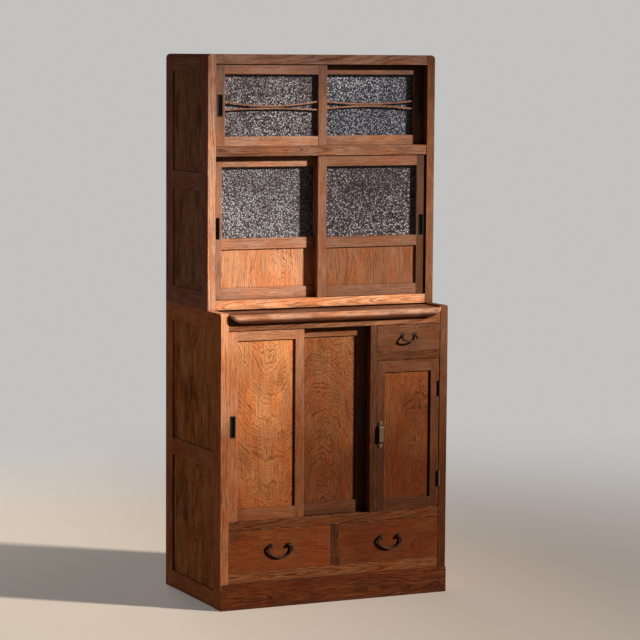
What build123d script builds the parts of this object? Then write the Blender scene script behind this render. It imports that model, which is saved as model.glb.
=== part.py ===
from build123d import *
import math
import os

# Mizuya kitchen cabinet: a shallow glazed case standing on a deeper cupboard case with drawers.
# Millimetres. The model is laid out with X from left to right about the cabinet's middle, Y from
# the face of the lower case's front posts towards the back, and Z up from the floor. save() then
# moves every piece so that the origin is the middle of the bounding box's bottom.

# ---------------------------------------------------------------- overall
CASE_WIDTH = 818.0
LOWER_DEPTH = 476.0
LEDGE_DEPTH = 112.0             # how far the upper case stands back from the lower one

# ---------------------------------------------------------------- lower case, heights upwards
PLINTH_HEIGHT = 84.0
BOTTOM_RAIL_HEIGHT = 35.0
LARGE_DRAWER_OPENING = 139.0
MIDDLE_RAIL_HEIGHT = 29.0
HINGED_DOOR_OPENING = 502.0
SHORT_RAIL_HEIGHT = 30.0
SMALL_DRAWER_OPENING = 88.0
TOP_RAIL_HEIGHT = 34.0
LEDGE_THICKNESS = 18.0
POST_RISE = 5.0                 # the side frames stand this much above the ledge

# ---------------------------------------------------------------- upper case, heights upwards
UPPER_BOTTOM_RAIL_HEIGHT = 30.0
TALL_DOOR_OPENING = 467.0
SHELF_RAIL_HEIGHT = 32.0
SMALL_DOOR_OPENING = 265.0
UPPER_TOP_RAIL_HEIGHT = 32.0

# ---------------------------------------------------------------- side frames
POST_WIDTH = 28.0
POST_DEPTH = 58.0
SIDE_RAIL_HEIGHT = 57.0
SIDE_PANEL_THICKNESS = 9.0
SIDE_PANEL_RECESS = 7.0
TOP_EDGE_RADIUS = 15.0          # outer top edges of the upper side frames
POST_NOSE_RADIUS = 9.0          # top front edge of the lower front posts
JOINT_STEP = 0.4                # a rail lies this far inside the faces of the post it meets
EASED_EDGE = 0.8                # chamfer along the members that are seen

# ---------------------------------------------------------------- front rails, dividers, boards
RAIL_DEPTH = 56.0
RAIL_SET_BACK = 1.5             # front rails and drawer fronts behind the faces of the posts
CUPBOARD_DIVIDER_X = 136.5      # middle of the post between the sliding and the hinged doors
CUPBOARD_DIVIDER_WIDTH = 24.0
DRAWER_DIVIDER_WIDTH = 33.0
PARTITION_THICKNESS = 12.0
BOARD_THICKNESS = 12.0
BACK_THICKNESS = 8.0
BACK_INSET = 4.0                # the back boards in front of the rear faces of the posts
BACK_BOARD_COUNT = 5
BACK_RAIL_HEIGHT = 44.0
BACK_RAIL_DEPTH = 20.0
PLINTH_LAP = 6.0                # how far the plinth stands in front of the posts
PLINTH_THICKNESS = 22.0         # between the posts
PLINTH_EDGE_RADIUS = 3.0
MOULDING_DEPTH = 21.0
MOULDING_HEIGHT = 30.0          # from the top of the ledge down over the top rail
MOULDING_SWEEP_LENGTH = 58.0    # length of the curve that thins each end of the moulding from below
MOULDING_NOSE_LENGTH = 30.0     # length of the curve that thins it from the front
MOULDING_END = 3.0              # height and depth that are left at the ends

# ---------------------------------------------------------------- sliding doors
DOOR_THICKNESS = 21.0
DOOR_SET_BACK = 5.0             # front door behind the face of the rails
DOOR_PAIR_GAP = 4.0             # between the front and the rear door of a pair
OUTER_STILE = 33.0
MEETING_STILE = 31.0
DOOR_SIDE_GAP = 0.5
DOOR_TOP_GAP = 1.5
DOOR_BOTTOM_GAP = 0.8
RUN_GAP = 0.3                   # under a door's tongue or a drawer
TONGUE_THICKNESS = 7.0
TONGUE_REACH = 5.0              # top tongue above the lower face of the rail
GROOVE_SIDE_GAP = 0.6
TOP_GROOVE_DEPTH = 9.0
BOTTOM_GROOVE_DEPTH = 3.0

# ---------------------------------------------------------------- rails and fields of the doors
SMALL_DOOR_RAIL = 31.0
TALL_DOOR_BOTTOM_RAIL = 36.0
TALL_DOOR_PANEL_FIELD = 127.0
TALL_DOOR_MIDDLE_RAIL = 35.0
TALL_DOOR_TOP_RAIL = 34.0
CUPBOARD_DOOR_BOTTOM_RAIL = 39.0
CUPBOARD_DOOR_TOP_RAIL = 32.0
HINGED_DOOR_THICKNESS = 20.0
HINGED_DOOR_STILE = 30.0
HINGED_DOOR_RAIL = 38.0
HINGED_DOOR_GAP = 1.2
PANEL_THICKNESS = 6.0
PANEL_RECESS = 7.0
GLASS_THICKNESS = 3.0
GLASS_RECESS = 16.0
PANEL_GROOVE_DEPTH = 6.0
PANEL_EDGE_GAP = 1.0            # between a panel's edge and the bottom of its groove
PANEL_FACE_GAP = 0.15           # between a panel's faces and the walls of its groove

# ---------------------------------------------------------------- curved bars of the small doors
BAR_HEIGHT = 5.0
BAR_THICKNESS = 4.0
BAR_SET_BACK = 4.0              # behind the face of the door
LEFT_UPPER_BAR_ENDS = 12.5      # these heights are above the middle of the door
LEFT_UPPER_BAR_MIDDLE = -2.5
LEFT_LOWER_BAR_ENDS = -15.0
LEFT_LOWER_BAR_MIDDLE = -10.0
RIGHT_UPPER_BAR_ENDS = 13.0
RIGHT_UPPER_BAR_MIDDLE = 3.0
RIGHT_LOWER_BAR_ENDS = -13.5
RIGHT_LOWER_BAR_MIDDLE = -3.5

# ---------------------------------------------------------------- finger pulls
PULL_WIDTH = 16.5
PULL_HEIGHT = 68.0
PULL_DEPTH = 8.5
PULL_WALL = 1.2
PULL_RIM = 1.6
PULL_RIM_THICKNESS = 0.6
PULL_FIT = 0.1

# ---------------------------------------------------------------- drawers
DRAWER_FRONT_THICKNESS = 20.0
DRAWER_SIDE_GAP = 1.0
DRAWER_TOP_GAP = 1.5
DRAWER_WALL = 10.0
DRAWER_BOTTOM = 6.0
DRAWER_BOTTOM_RISE = 5.0
DRAWER_SIDE_DROP = 8.0          # the sides are this much lower than the opening
DRAWER_BACK_GAP = 42.5          # behind a closed drawer's box
RUNNER_HEIGHT = 8.0
RUNNER_WIDTH = 22.0
GUIDE_HEIGHT = 24.0
GUIDE_GAP = 0.4

# ---------------------------------------------------------------- swinging handles
BAIL_ROD_RADIUS = 3.4
BAIL_HALF_WIDTH = 43.0          # to the rod's middle
BAIL_DROP = 39.5
BAIL_SHOULDER_RADIUS = 8.0
BAIL_CORNER_RADIUS = 20.0
BAIL_TAIL = 6.0                 # how far an end reaches past the middle of its eye
BAIL_EYE_HALF_SPACING = 32.0
BAIL_STAND_OFF = 7.5
BAIL_HEIGHT_IN_OPENING = 82.0   # the hinge line above the bottom of the drawer opening
EYE_RADIUS = 6.2
EYE_WIDTH = 4.6
EYE_BORE_GAP = 0.08
EYE_SHANK_RADIUS = 2.8
EYE_PLATE_RADIUS = 8.0
EYE_PLATE_THICKNESS = 1.5

# ---------------------------------------------------------------- fixed handles
PULL_ROD_RADIUS = 3.2
ROSETTE_RADIUS = 8.0
ROSETTE_THICKNESS = 1.6
DRAWER_PULL_HALF_SPACING = 21.5
DRAWER_PULL_SPREAD = 22.0       # degrees by which each arm leans away from the other
DRAWER_PULL_REACH = 29.0        # from the rosettes to the rod's middle at its furthest
DRAWER_PULL_DROOP = 45.0        # degrees below level
DRAWER_PULL_CORNER = 10.0
DRAWER_PULL_BOW_RADIUS = 60.0
DRAWER_PULL_ABOVE_MIDDLE = 9.0
STRAP_WIDTH = 16.0
STRAP_THICKNESS = 3.2
STRAP_EDGE_RADIUS = 0.8
STRAP_REACH = 10.0              # from the door's face to the middle of the strap's thickness
STRAP_GRIP = 45.0               # the straight length that stands off the door
STRAP_FOOT = 12.0
STRAP_BEND = 60.0               # degrees by which each end turns towards the door
STRAP_BEND_RADIUS = 5.0
STRAP_NAIL_RADIUS = 5.5
STRAP_NAIL_HEAD = 2.4
STRAP_NAIL_ROUNDING = 1.8
STRAP_FROM_EDGE = 12.5          # its middle, from the free edge of the door
STRAP_ABOVE_MIDDLE = 7.0

# ---------------------------------------------------------------- butt hinges
HINGE_HEIGHT = 50.0
HINGE_FROM_DOOR_END = 73.0
HINGE_LEAF = 1.2
HINGE_LEAF_GAP = 0.3
HINGE_LEAF_DEPTH = 20.0
KNUCKLE_RADIUS = 3.0
KNUCKLE_CLEARANCE = 0.3
HINGE_PIN_RADIUS = 1.4
HINGE_PIN_GAP = 0.06

# ---------------------------------------------------------------- levels worked out from these
BOTTOM_RAIL_TOP = PLINTH_HEIGHT + BOTTOM_RAIL_HEIGHT
LARGE_DRAWER_TOP = BOTTOM_RAIL_TOP + LARGE_DRAWER_OPENING
CUPBOARD_BASE = LARGE_DRAWER_TOP + MIDDLE_RAIL_HEIGHT
HINGED_DOOR_TOP = CUPBOARD_BASE + HINGED_DOOR_OPENING
SMALL_DRAWER_BASE = HINGED_DOOR_TOP + SHORT_RAIL_HEIGHT
CUPBOARD_TOP = SMALL_DRAWER_BASE + SMALL_DRAWER_OPENING
LEDGE_UNDERSIDE = CUPBOARD_TOP + TOP_RAIL_HEIGHT
LEDGE_TOP = LEDGE_UNDERSIDE + LEDGE_THICKNESS
LOWER_HEIGHT = LEDGE_TOP + POST_RISE
TALL_DOOR_BASE = LOWER_HEIGHT + UPPER_BOTTOM_RAIL_HEIGHT
TALL_DOOR_TOP = TALL_DOOR_BASE + TALL_DOOR_OPENING
SMALL_DOOR_BASE = TALL_DOOR_TOP + SHELF_RAIL_HEIGHT
SMALL_DOOR_TOP = SMALL_DOOR_BASE + SMALL_DOOR_OPENING
TOTAL_HEIGHT = SMALL_DOOR_TOP + UPPER_TOP_RAIL_HEIGHT

OUTER_X = CASE_WIDTH / 2
OPENING_X = OUTER_X - POST_WIDTH                       # inner faces of the side frames
PANEL_INNER_X = OUTER_X - SIDE_PANEL_RECESS - SIDE_PANEL_THICKNESS
DIVIDER_LEFT_X = CUPBOARD_DIVIDER_X - CUPBOARD_DIVIDER_WIDTH / 2
DIVIDER_RIGHT_X = CUPBOARD_DIVIDER_X + CUPBOARD_DIVIDER_WIDTH / 2
DRAWER_DIVIDER_X = DRAWER_DIVIDER_WIDTH / 2
BACK_Y = LOWER_DEPTH - BACK_INSET - BACK_THICKNESS     # front faces of the back boards

LOWER_RAIL_Y = RAIL_SET_BACK
UPPER_RAIL_Y = LEDGE_DEPTH + RAIL_SET_BACK
HINGE_X = OPENING_X - HINGE_LEAF - HINGE_LEAF_GAP / 2
HINGE_Y = -KNUCKLE_RADIUS - KNUCKLE_CLEARANCE
HINGED_DOOR_RIGHT_X = OPENING_X - 2 * HINGE_LEAF - HINGE_LEAF_GAP

DRAWER_PULL_TIP = DRAWER_PULL_REACH * math.cos(math.radians(DRAWER_PULL_DROOP)) + PULL_ROD_RADIUS
STRAP_TIP = STRAP_REACH + STRAP_THICKNESS / 2
FRONT_REACH = max(DRAWER_PULL_TIP - LOWER_RAIL_Y, STRAP_TIP - LOWER_RAIL_Y, MOULDING_DEPTH, PLINTH_LAP)
ORIGIN_Y = (LOWER_DEPTH - FRONT_REACH) / 2


# ---------------------------------------------------------------- layers of a framed door
RAIL = "rail"
PANEL = {"recess": PANEL_RECESS, "thickness": PANEL_THICKNESS}
GLASS = {"recess": GLASS_RECESS, "thickness": GLASS_THICKNESS}


# ---------------------------------------------------------------- small helpers
def block(x0, x1, y0, y1, z0, z1):
    """A rectangular piece between two opposite corners."""
    middle = Pos((x0 + x1) / 2, (y0 + y1) / 2, (z0 + z1) / 2)
    return middle * Box(x1 - x0, y1 - y0, z1 - z0)


def member(x0, x1, y0, y1, z0, z1):
    """A wooden member with the four edges along its length eased."""
    lengths = {Axis.X: x1 - x0, Axis.Y: y1 - y0, Axis.Z: z1 - z0}
    long_edges = block(x0, x1, y0, y1, z0, z1).edges().filter_by(max(lengths, key=lengths.get))
    return chamfer(long_edges, EASED_EDGE)


def mirrored(solid):
    """The same piece on the other side of the cabinet."""
    return solid.mirror(Plane.YZ)


def cut_all(solid, cutters):
    """What is left of a solid after all the cutters."""
    for cutter in cutters:
        solid -= cutter
    return solid


def bent_rod(plane, start, heading, steps, outline):
    """A rod of the given outline, bent in a plane. The outline's own X is square to that plane.

    A step is a straight length or an arc's (radius, turn to the left)."""
    point, direction = Vector(start), Vector(heading)
    edges = []
    for step in steps:
        if isinstance(step, tuple):
            edge = JernArc(point, direction, *step)
        else:
            edge = Line(point, point + direction * step)
        point, direction = edge @ 1, edge % 1
        edges.append(edge)
    path = plane * Wire(edges)
    section = Plane(origin=path @ 0, x_dir=plane.z_dir, z_dir=path % 0) * outline
    return sweep(section, path=path)


def lying(radius, length, x, y, z):
    """A round piece with its axis along X."""
    return Pos(x, y, z) * Rot(0, 90, 0) * Cylinder(radius, length)


def standing_out(radius, face_y, reach, x, z):
    """A round piece that stands forward from a face at face_y."""
    return Pos(x, face_y - reach / 2, z) * Rot(90, 0, 0) * Cylinder(radius, reach)


def save(node, *solids):
    """Write one node, with its separate solids side by side."""
    moved = [Pos(0, -ORIGIN_Y, 0) * solid for solid in solids]
    shape = moved[0] if len(moved) == 1 else Compound(children=moved)
    export_step(shape, f"parts/{node}.step")


# ---------------------------------------------------------------- side frames
def side_frame(front_y, z0, z1):
    """The right side frame of one case: two posts, three rails and two panels."""
    post_y, back_post_y = front_y + POST_DEPTH, LOWER_DEPTH - POST_DEPTH
    posts = [
        member(OPENING_X, OUTER_X, front_y, post_y, z0, z1),
        member(OPENING_X, OUTER_X, back_post_y, LOWER_DEPTH, z0, z1),
    ]
    middle = (z0 + z1) / 2
    levels = [
        z0 + JOINT_STEP, z0 + SIDE_RAIL_HEIGHT,
        middle - SIDE_RAIL_HEIGHT / 2, middle + SIDE_RAIL_HEIGHT / 2,
        z1 - SIDE_RAIL_HEIGHT, z1 - JOINT_STEP,
    ]
    rails = [
        member(OPENING_X + JOINT_STEP, OUTER_X - JOINT_STEP, post_y, back_post_y, low, high)
        for low, high in zip(levels[::2], levels[1::2])
    ]
    panels, grooves = [], []
    for low, high in zip(levels[1::2], levels[2::2]):
        span = (PANEL_INNER_X, OUTER_X - SIDE_PANEL_RECESS, post_y, back_post_y, low, high)
        panels.append(grooved_in(span, Axis.X, PANEL_GROOVE_DEPTH - PANEL_EDGE_GAP, 0))
        grooves.append(grooved_in(span, Axis.X, PANEL_GROOVE_DEPTH, PANEL_FACE_GAP))
    posts = [cut_all(post, grooves) for post in posts]
    rails = [cut_all(rail, grooves) for rail in rails]
    return posts, rails, panels


def grooved_in(span, normal, reach, face_gap):
    """The block of a panel, or of its groove, that reaches past its clear span on four sides."""
    x0, x1, y0, y1, z0, z1 = span
    in_x = face_gap if normal == Axis.X else reach
    in_y = face_gap if normal == Axis.Y else reach
    return block(x0 - in_x, x1 + in_x, y0 - in_y, y1 + in_y, z0 - reach, z1 + reach)


def round_outer_top(solid):
    """Round the outer top edge of a piece of the right side frame."""
    z = TOTAL_HEIGHT - TOP_EDGE_RADIUS
    x = OUTER_X - TOP_EDGE_RADIUS
    corner = block(x, OUTER_X, LEDGE_DEPTH, LOWER_DEPTH, z, TOTAL_HEIGHT)
    return solid - (corner - standing_out(TOP_EDGE_RADIUS, LOWER_DEPTH, LOWER_DEPTH, x, z))


def round_nose(post):
    """Round the top front edge of the right front post of the lower case."""
    z = LOWER_HEIGHT - POST_NOSE_RADIUS
    corner = block(OPENING_X, OUTER_X, 0, POST_NOSE_RADIUS, z, LOWER_HEIGHT)
    return post - (corner - lying(POST_NOSE_RADIUS, CASE_WIDTH, 0, POST_NOSE_RADIUS, z))


def make_side_frames():
    """Both cases' side frames, with their panels."""
    (front, back), rails, panels = side_frame(0, 0, LOWER_HEIGHT)
    lower = [round_nose(front), back, *rails]
    save("lower_right_side_frame", *lower)
    save("lower_left_side_frame", *[mirrored(solid) for solid in lower])
    save("lower_side_panels", *panels, *[mirrored(panel) for panel in panels])

    posts, rails, panels = side_frame(LEDGE_DEPTH, LOWER_HEIGHT, TOTAL_HEIGHT)
    upper = [round_outer_top(solid) for solid in (*posts, rails[2])] + rails[:2]
    save("upper_right_side_frame", *upper)
    save("upper_left_side_frame", *[mirrored(solid) for solid in upper])
    save("upper_side_panels", *panels, *[mirrored(panel) for panel in panels])


def inner_board(x0, x1, front_y, z0, z1):
    """A board that reaches back to the back boards, notched round the posts where it passes them."""
    board = block(x0, x1, front_y, BACK_Y, z0, z1)
    case_front = LEDGE_DEPTH if z0 >= LOWER_HEIGHT else 0
    for side in (-1, 1):
        inner, outer = sorted((side * OPENING_X, side * OUTER_X))
        board -= block(inner, outer, case_front, case_front + POST_DEPTH, z0, z1)
        board -= block(inner, outer, LOWER_DEPTH - POST_DEPTH, LOWER_DEPTH, z0, z1)
    return board


def back_boards(z0, z1):
    """Upright boards side by side between the back posts."""
    width = 2 * OPENING_X / BACK_BOARD_COUNT
    return [
        block(
            -OPENING_X + i * width, -OPENING_X + (i + 1) * width,
            BACK_Y, BACK_Y + BACK_THICKNESS, z0, z1,
        )
        for i in range(BACK_BOARD_COUNT)
    ]


# ---------------------------------------------------------------- front rails with door tracks
def door_face_y(rail_y, track):
    """Front face of the door in the front track (0) or the rear one (1)."""
    return rail_y + DOOR_SET_BACK + track * (DOOR_THICKNESS + DOOR_PAIR_GAP)


def track_grooves(rail_y, x0, x1, z0, z1):
    """The two grooves that the tongues of a pair of doors run in."""
    grooves = []
    for track in (0, 1):
        middle = door_face_y(rail_y, track) + DOOR_THICKNESS / 2
        half = TONGUE_THICKNESS / 2 + GROOVE_SIDE_GAP
        grooves.append(block(x0, x1, middle - half, middle + half, z0, z1))
    return grooves


def front_rail(rail_y, x0, x1, z0, z1, door_below=None, door_above=None):
    """A front rail. door_below and door_above are the X spans of the tracks cut in it."""
    rail = member(x0, x1, rail_y, rail_y + RAIL_DEPTH, z0, z1)
    if door_below:
        rail = cut_all(rail, track_grooves(rail_y, *door_below, z0, z0 + TOP_GROOVE_DEPTH))
    if door_above:
        rail = cut_all(rail, track_grooves(rail_y, *door_above, z1 - BOTTOM_GROOVE_DEPTH, z1))
    return rail


def divider(x0, x1, z0, z1):
    """A front post between two openings, a little proud of the rails it meets."""
    return member(x0, x1, LOWER_RAIL_Y - JOINT_STEP, LOWER_RAIL_Y + RAIL_DEPTH, z0, z1)


def partition(x, z0, z1):
    """An upright board from the front rails to the back."""
    half = PARTITION_THICKNESS / 2
    return block(x - half, x + half, LOWER_RAIL_Y + RAIL_DEPTH, BACK_Y, z0, z1)


def make_lower_case():
    """Everything fixed in the lower case apart from the side frames and the runners."""
    whole = (-OPENING_X, OPENING_X)
    sliding = (-OPENING_X, DIVIDER_LEFT_X)
    behind = LOWER_RAIL_Y + RAIL_DEPTH
    save("lower_top_board", block(*whole, 0, BACK_Y, LEDGE_UNDERSIDE, LEDGE_TOP))
    save("top_moulding", top_moulding())
    save("lower_top_rail", front_rail(LOWER_RAIL_Y, *whole, CUPBOARD_TOP, LEDGE_UNDERSIDE, sliding))
    save(
        "lower_middle_rail",
        front_rail(LOWER_RAIL_Y, *whole, LARGE_DRAWER_TOP, CUPBOARD_BASE, None, sliding),
    )
    save(
        "drawer_door_rail",
        front_rail(LOWER_RAIL_Y, DIVIDER_RIGHT_X, OPENING_X, HINGED_DOOR_TOP, SMALL_DRAWER_BASE),
    )
    save(
        "lower_bottom_rail",
        front_rail(LOWER_RAIL_Y, *whole, PLINTH_HEIGHT, BOTTOM_RAIL_TOP),
    )
    save("plinth_board", plinth())

    floor_underside = CUPBOARD_BASE - BOARD_THICKNESS
    drawer_bed = BOTTOM_RAIL_TOP - RUNNER_HEIGHT
    small_bed = SMALL_DRAWER_BASE - RUNNER_HEIGHT
    divider_right = CUPBOARD_DIVIDER_X + PARTITION_THICKNESS / 2
    save(
        "cupboard_divider",
        divider(DIVIDER_LEFT_X, DIVIDER_RIGHT_X, CUPBOARD_BASE, CUPBOARD_TOP),
        partition(CUPBOARD_DIVIDER_X, CUPBOARD_BASE, LEDGE_UNDERSIDE),
    )
    save(
        "drawer_divider",
        divider(-DRAWER_DIVIDER_X, DRAWER_DIVIDER_X, BOTTOM_RAIL_TOP, LARGE_DRAWER_TOP),
        partition(0, drawer_bed, floor_underside),
    )
    save(
        "lower_inner_boards",
        inner_board(-PANEL_INNER_X, PANEL_INNER_X, behind, floor_underside, CUPBOARD_BASE),
        inner_board(-PANEL_INNER_X, PANEL_INNER_X, behind, drawer_bed - BOARD_THICKNESS, drawer_bed),
        inner_board(divider_right, PANEL_INNER_X, behind, small_bed - BOARD_THICKNESS, small_bed),
    )
    back_base = drawer_bed - BOARD_THICKNESS
    back_rail = block(
        *whole, BACK_Y + BACK_THICKNESS - BACK_RAIL_DEPTH, BACK_Y + BACK_THICKNESS,
        back_base - BACK_RAIL_HEIGHT, back_base,
    )
    save("lower_back", *back_boards(back_base, LEDGE_TOP), back_rail)


def top_moulding():
    """Half-round moulding on the front of the ledge. Curves thin both its ends from below and in front."""
    radius = MOULDING_HEIGHT / 2
    round_y = radius - MOULDING_DEPTH
    profile = make_face([
        *Polyline((round_y, -radius), (0, -radius), (0, radius), (round_y, radius)).edges(),
        ThreePointArc((round_y, radius), (-MOULDING_DEPTH, 0), (round_y, -radius)),
    ])
    underside = LEDGE_TOP - MOULDING_HEIGHT
    at_left_end = Plane(origin=(-OPENING_X, 0, LEDGE_TOP - radius), x_dir=(0, 1, 0), z_dir=(1, 0, 0))
    bar = extrude(at_left_end * profile, 2 * OPENING_X)
    rise, retreat = MOULDING_HEIGHT - MOULDING_END, MOULDING_DEPTH - MOULDING_END
    sweep_radius = (MOULDING_SWEEP_LENGTH ** 2 + rise ** 2) / (2 * rise)
    nose_radius = (MOULDING_NOSE_LENGTH ** 2 + retreat ** 2) / (2 * retreat)
    for side in (-1, 1):
        sweep_x = side * (OPENING_X - MOULDING_SWEEP_LENGTH)
        nose_x = side * (OPENING_X - MOULDING_NOSE_LENGTH)
        curves = {
            sweep_x: Pos(sweep_x, 0, underside + sweep_radius) * Rot(90, 0, 0)
            * Cylinder(sweep_radius, 4 * MOULDING_DEPTH),
            nose_x: Pos(nose_x, nose_radius - MOULDING_DEPTH, LEDGE_TOP)
            * Cylinder(nose_radius, 4 * MOULDING_HEIGHT),
        }
        for start_x, curve in curves.items():
            inner, outer = sorted((start_x, side * OPENING_X))
            bar -= block(inner, outer, -MOULDING_DEPTH, 0, underside, LEDGE_TOP) - curve
    return bar


def plinth():
    """The board across the foot of the front. It laps over the posts and fills the space between them."""
    board = block(-OUTER_X, OUTER_X, -PLINTH_LAP, 0, 0, PLINTH_HEIGHT)
    top_front = board.edges().filter_by(Axis.X).group_by(Axis.Z)[-1].sort_by(Axis.Y)[0]
    inner = block(-OPENING_X, OPENING_X, 0, PLINTH_THICKNESS - PLINTH_LAP, 0, PLINTH_HEIGHT)
    return fillet(top_front, PLINTH_EDGE_RADIUS) + inner


def make_upper_case():
    """Everything fixed in the upper case apart from the side frames."""
    whole = (-OPENING_X, OPENING_X)
    behind = UPPER_RAIL_Y + RAIL_DEPTH
    save(
        "upper_bottom_rail",
        front_rail(UPPER_RAIL_Y, *whole, LOWER_HEIGHT, TALL_DOOR_BASE, None, whole),
    )
    save(
        "upper_shelf_rail",
        front_rail(UPPER_RAIL_Y, *whole, TALL_DOOR_TOP, SMALL_DOOR_BASE, whole, whole),
    )
    save("upper_top_rail", front_rail(UPPER_RAIL_Y, *whole, SMALL_DOOR_TOP, TOTAL_HEIGHT, whole))
    save("upper_top_board", block(*whole, behind, BACK_Y, TOTAL_HEIGHT - BOARD_THICKNESS, TOTAL_HEIGHT))
    save(
        "upper_inner_boards",
        block(*whole, behind, BACK_Y, TALL_DOOR_BASE - BOARD_THICKNESS, TALL_DOOR_BASE),
        inner_board(
            -PANEL_INNER_X, PANEL_INNER_X, behind, SMALL_DOOR_BASE - BOARD_THICKNESS, SMALL_DOOR_BASE
        ),
    )
    save("upper_back", *back_boards(LOWER_HEIGHT, TOTAL_HEIGHT))


# ---------------------------------------------------------------- framed doors
def door_levels(z0, z1, layout):
    """Each layer of a door upwards as (kind, low, high). The layer of height None takes what is left."""
    spare = z1 - z0 - sum(height for _, height in layout if height)
    layers = []
    for kind, height in layout:
        layers.append((kind, z0, z0 + (height or spare)))
        z0 = layers[-1][2]
    return layers


def framed_door(x0, x1, z0, z1, face_y, thickness, stiles, layout, tongues=(0, 0)):
    """Two stiles, the rails between them, and the panels in their grooves.

    stiles is (left width, right width), layout the layers upwards, and tongues how far the tongues
    reach below and above the door's faces."""
    left_x, right_x = x0 + stiles[0], x1 - stiles[1]
    low_end, high_end = z0 - tongues[0], z1 + tongues[1]
    back_y = face_y + thickness
    members = [
        member(x0, left_x, face_y, back_y, low_end, high_end),
        member(right_x, x1, face_y, back_y, low_end, high_end),
    ]
    panels, grooves = [], []
    for i, (kind, low, high) in enumerate(door_levels(z0, z1, layout)):
        if kind == RAIL:
            low = low_end + JOINT_STEP if i == 0 else low
            high = high_end - JOINT_STEP if i == len(layout) - 1 else high
            members.append(member(left_x, right_x, face_y + JOINT_STEP, back_y - JOINT_STEP, low, high))
            continue
        panel_y = face_y + kind["recess"]
        span = (left_x, right_x, panel_y, panel_y + kind["thickness"], low, high)
        panels.append(grooved_in(span, Axis.Y, PANEL_GROOVE_DEPTH - PANEL_EDGE_GAP, 0))
        grooves.append(grooved_in(span, Axis.Y, PANEL_GROOVE_DEPTH, PANEL_FACE_GAP))
    if any(tongues):
        rebate = (thickness - TONGUE_THICKNESS) / 2
        for near, far in ((face_y, face_y + rebate), (back_y - rebate, back_y)):
            grooves.append(block(x0, x1, near, far, low_end, z0))
            grooves.append(block(x0, x1, near, far, z1, high_end))
    return [cut_all(solid, grooves) for solid in members], panels


def finger_pull(x, z, face_y):
    """A slim recessed cup with a thin rim, and the pocket it sits in."""
    half_w, half_h = PULL_WIDTH / 2, PULL_HEIGHT / 2
    cup = block(x - half_w, x + half_w, face_y, face_y + PULL_DEPTH, z - half_h, z + half_h)
    rim = block(
        x - half_w - PULL_RIM, x + half_w + PULL_RIM, face_y - PULL_RIM_THICKNESS, face_y,
        z - half_h - PULL_RIM, z + half_h + PULL_RIM,
    )
    hollow = block(
        x - half_w + PULL_WALL, x + half_w - PULL_WALL,
        face_y - PULL_RIM_THICKNESS, face_y + PULL_DEPTH - PULL_WALL,
        z - half_h + PULL_WALL, z + half_h - PULL_WALL,
    )
    pocket = block(
        x - half_w - PULL_FIT, x + half_w + PULL_FIT, face_y, face_y + PULL_DEPTH + PULL_FIT,
        z - half_h - PULL_FIT, z + half_h + PULL_FIT,
    )
    return cup + rim - hollow, pocket


def sliding_door(name, side, opening, in_front, rail_y, layout):
    """One door of a pair. side is -1 for the left door and 1 for the right one."""
    x0, x1, base, top = opening
    width = (x1 - x0 + MEETING_STILE) / 2 - DOOR_SIDE_GAP
    left = x0 + DOOR_SIDE_GAP if side < 0 else x1 - DOOR_SIDE_GAP - width
    right = left + width
    face_y = door_face_y(rail_y, 0 if in_front else 1)
    stiles = (OUTER_STILE, MEETING_STILE)[::-side]
    z0, z1 = base + DOOR_BOTTOM_GAP, top - DOOR_TOP_GAP
    tongues = (DOOR_BOTTOM_GAP + BOTTOM_GROOVE_DEPTH - RUN_GAP, DOOR_TOP_GAP + TONGUE_REACH)
    members, panels = framed_door(left, right, z0, z1, face_y, DOOR_THICKNESS, stiles, layout, tongues)
    outer_stile = 0 if side < 0 else 1
    pull_x = (left, right)[outer_stile] - side * OUTER_STILE / 2
    cup, pocket = finger_pull(pull_x, (z0 + z1) / 2, face_y)
    members[outer_stile] -= pocket
    save(f"{name}_pull", cup)
    return members, panels, (left + stiles[0], right - stiles[1]), face_y


def curved_bar(x0, x1, face_y, end_z, mid_z):
    """A thin bar across the glass, in an arc through its height at the ends and at mid span."""
    half = BAR_HEIGHT / 2
    mid_x = (x0 + x1) / 2
    outline = make_face([
        ThreePointArc((x0, end_z + half), (mid_x, mid_z + half), (x1, end_z + half)),
        Line((x1, end_z + half), (x1, end_z - half)),
        ThreePointArc((x1, end_z - half), (mid_x, mid_z - half), (x0, end_z - half)),
        Line((x0, end_z - half), (x0, end_z + half)),
    ])
    front = Plane(origin=(0, face_y + BAR_SET_BACK, 0), x_dir=(1, 0, 0), z_dir=(0, -1, 0))
    return extrude(front * outline, -BAR_THICKNESS)


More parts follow.
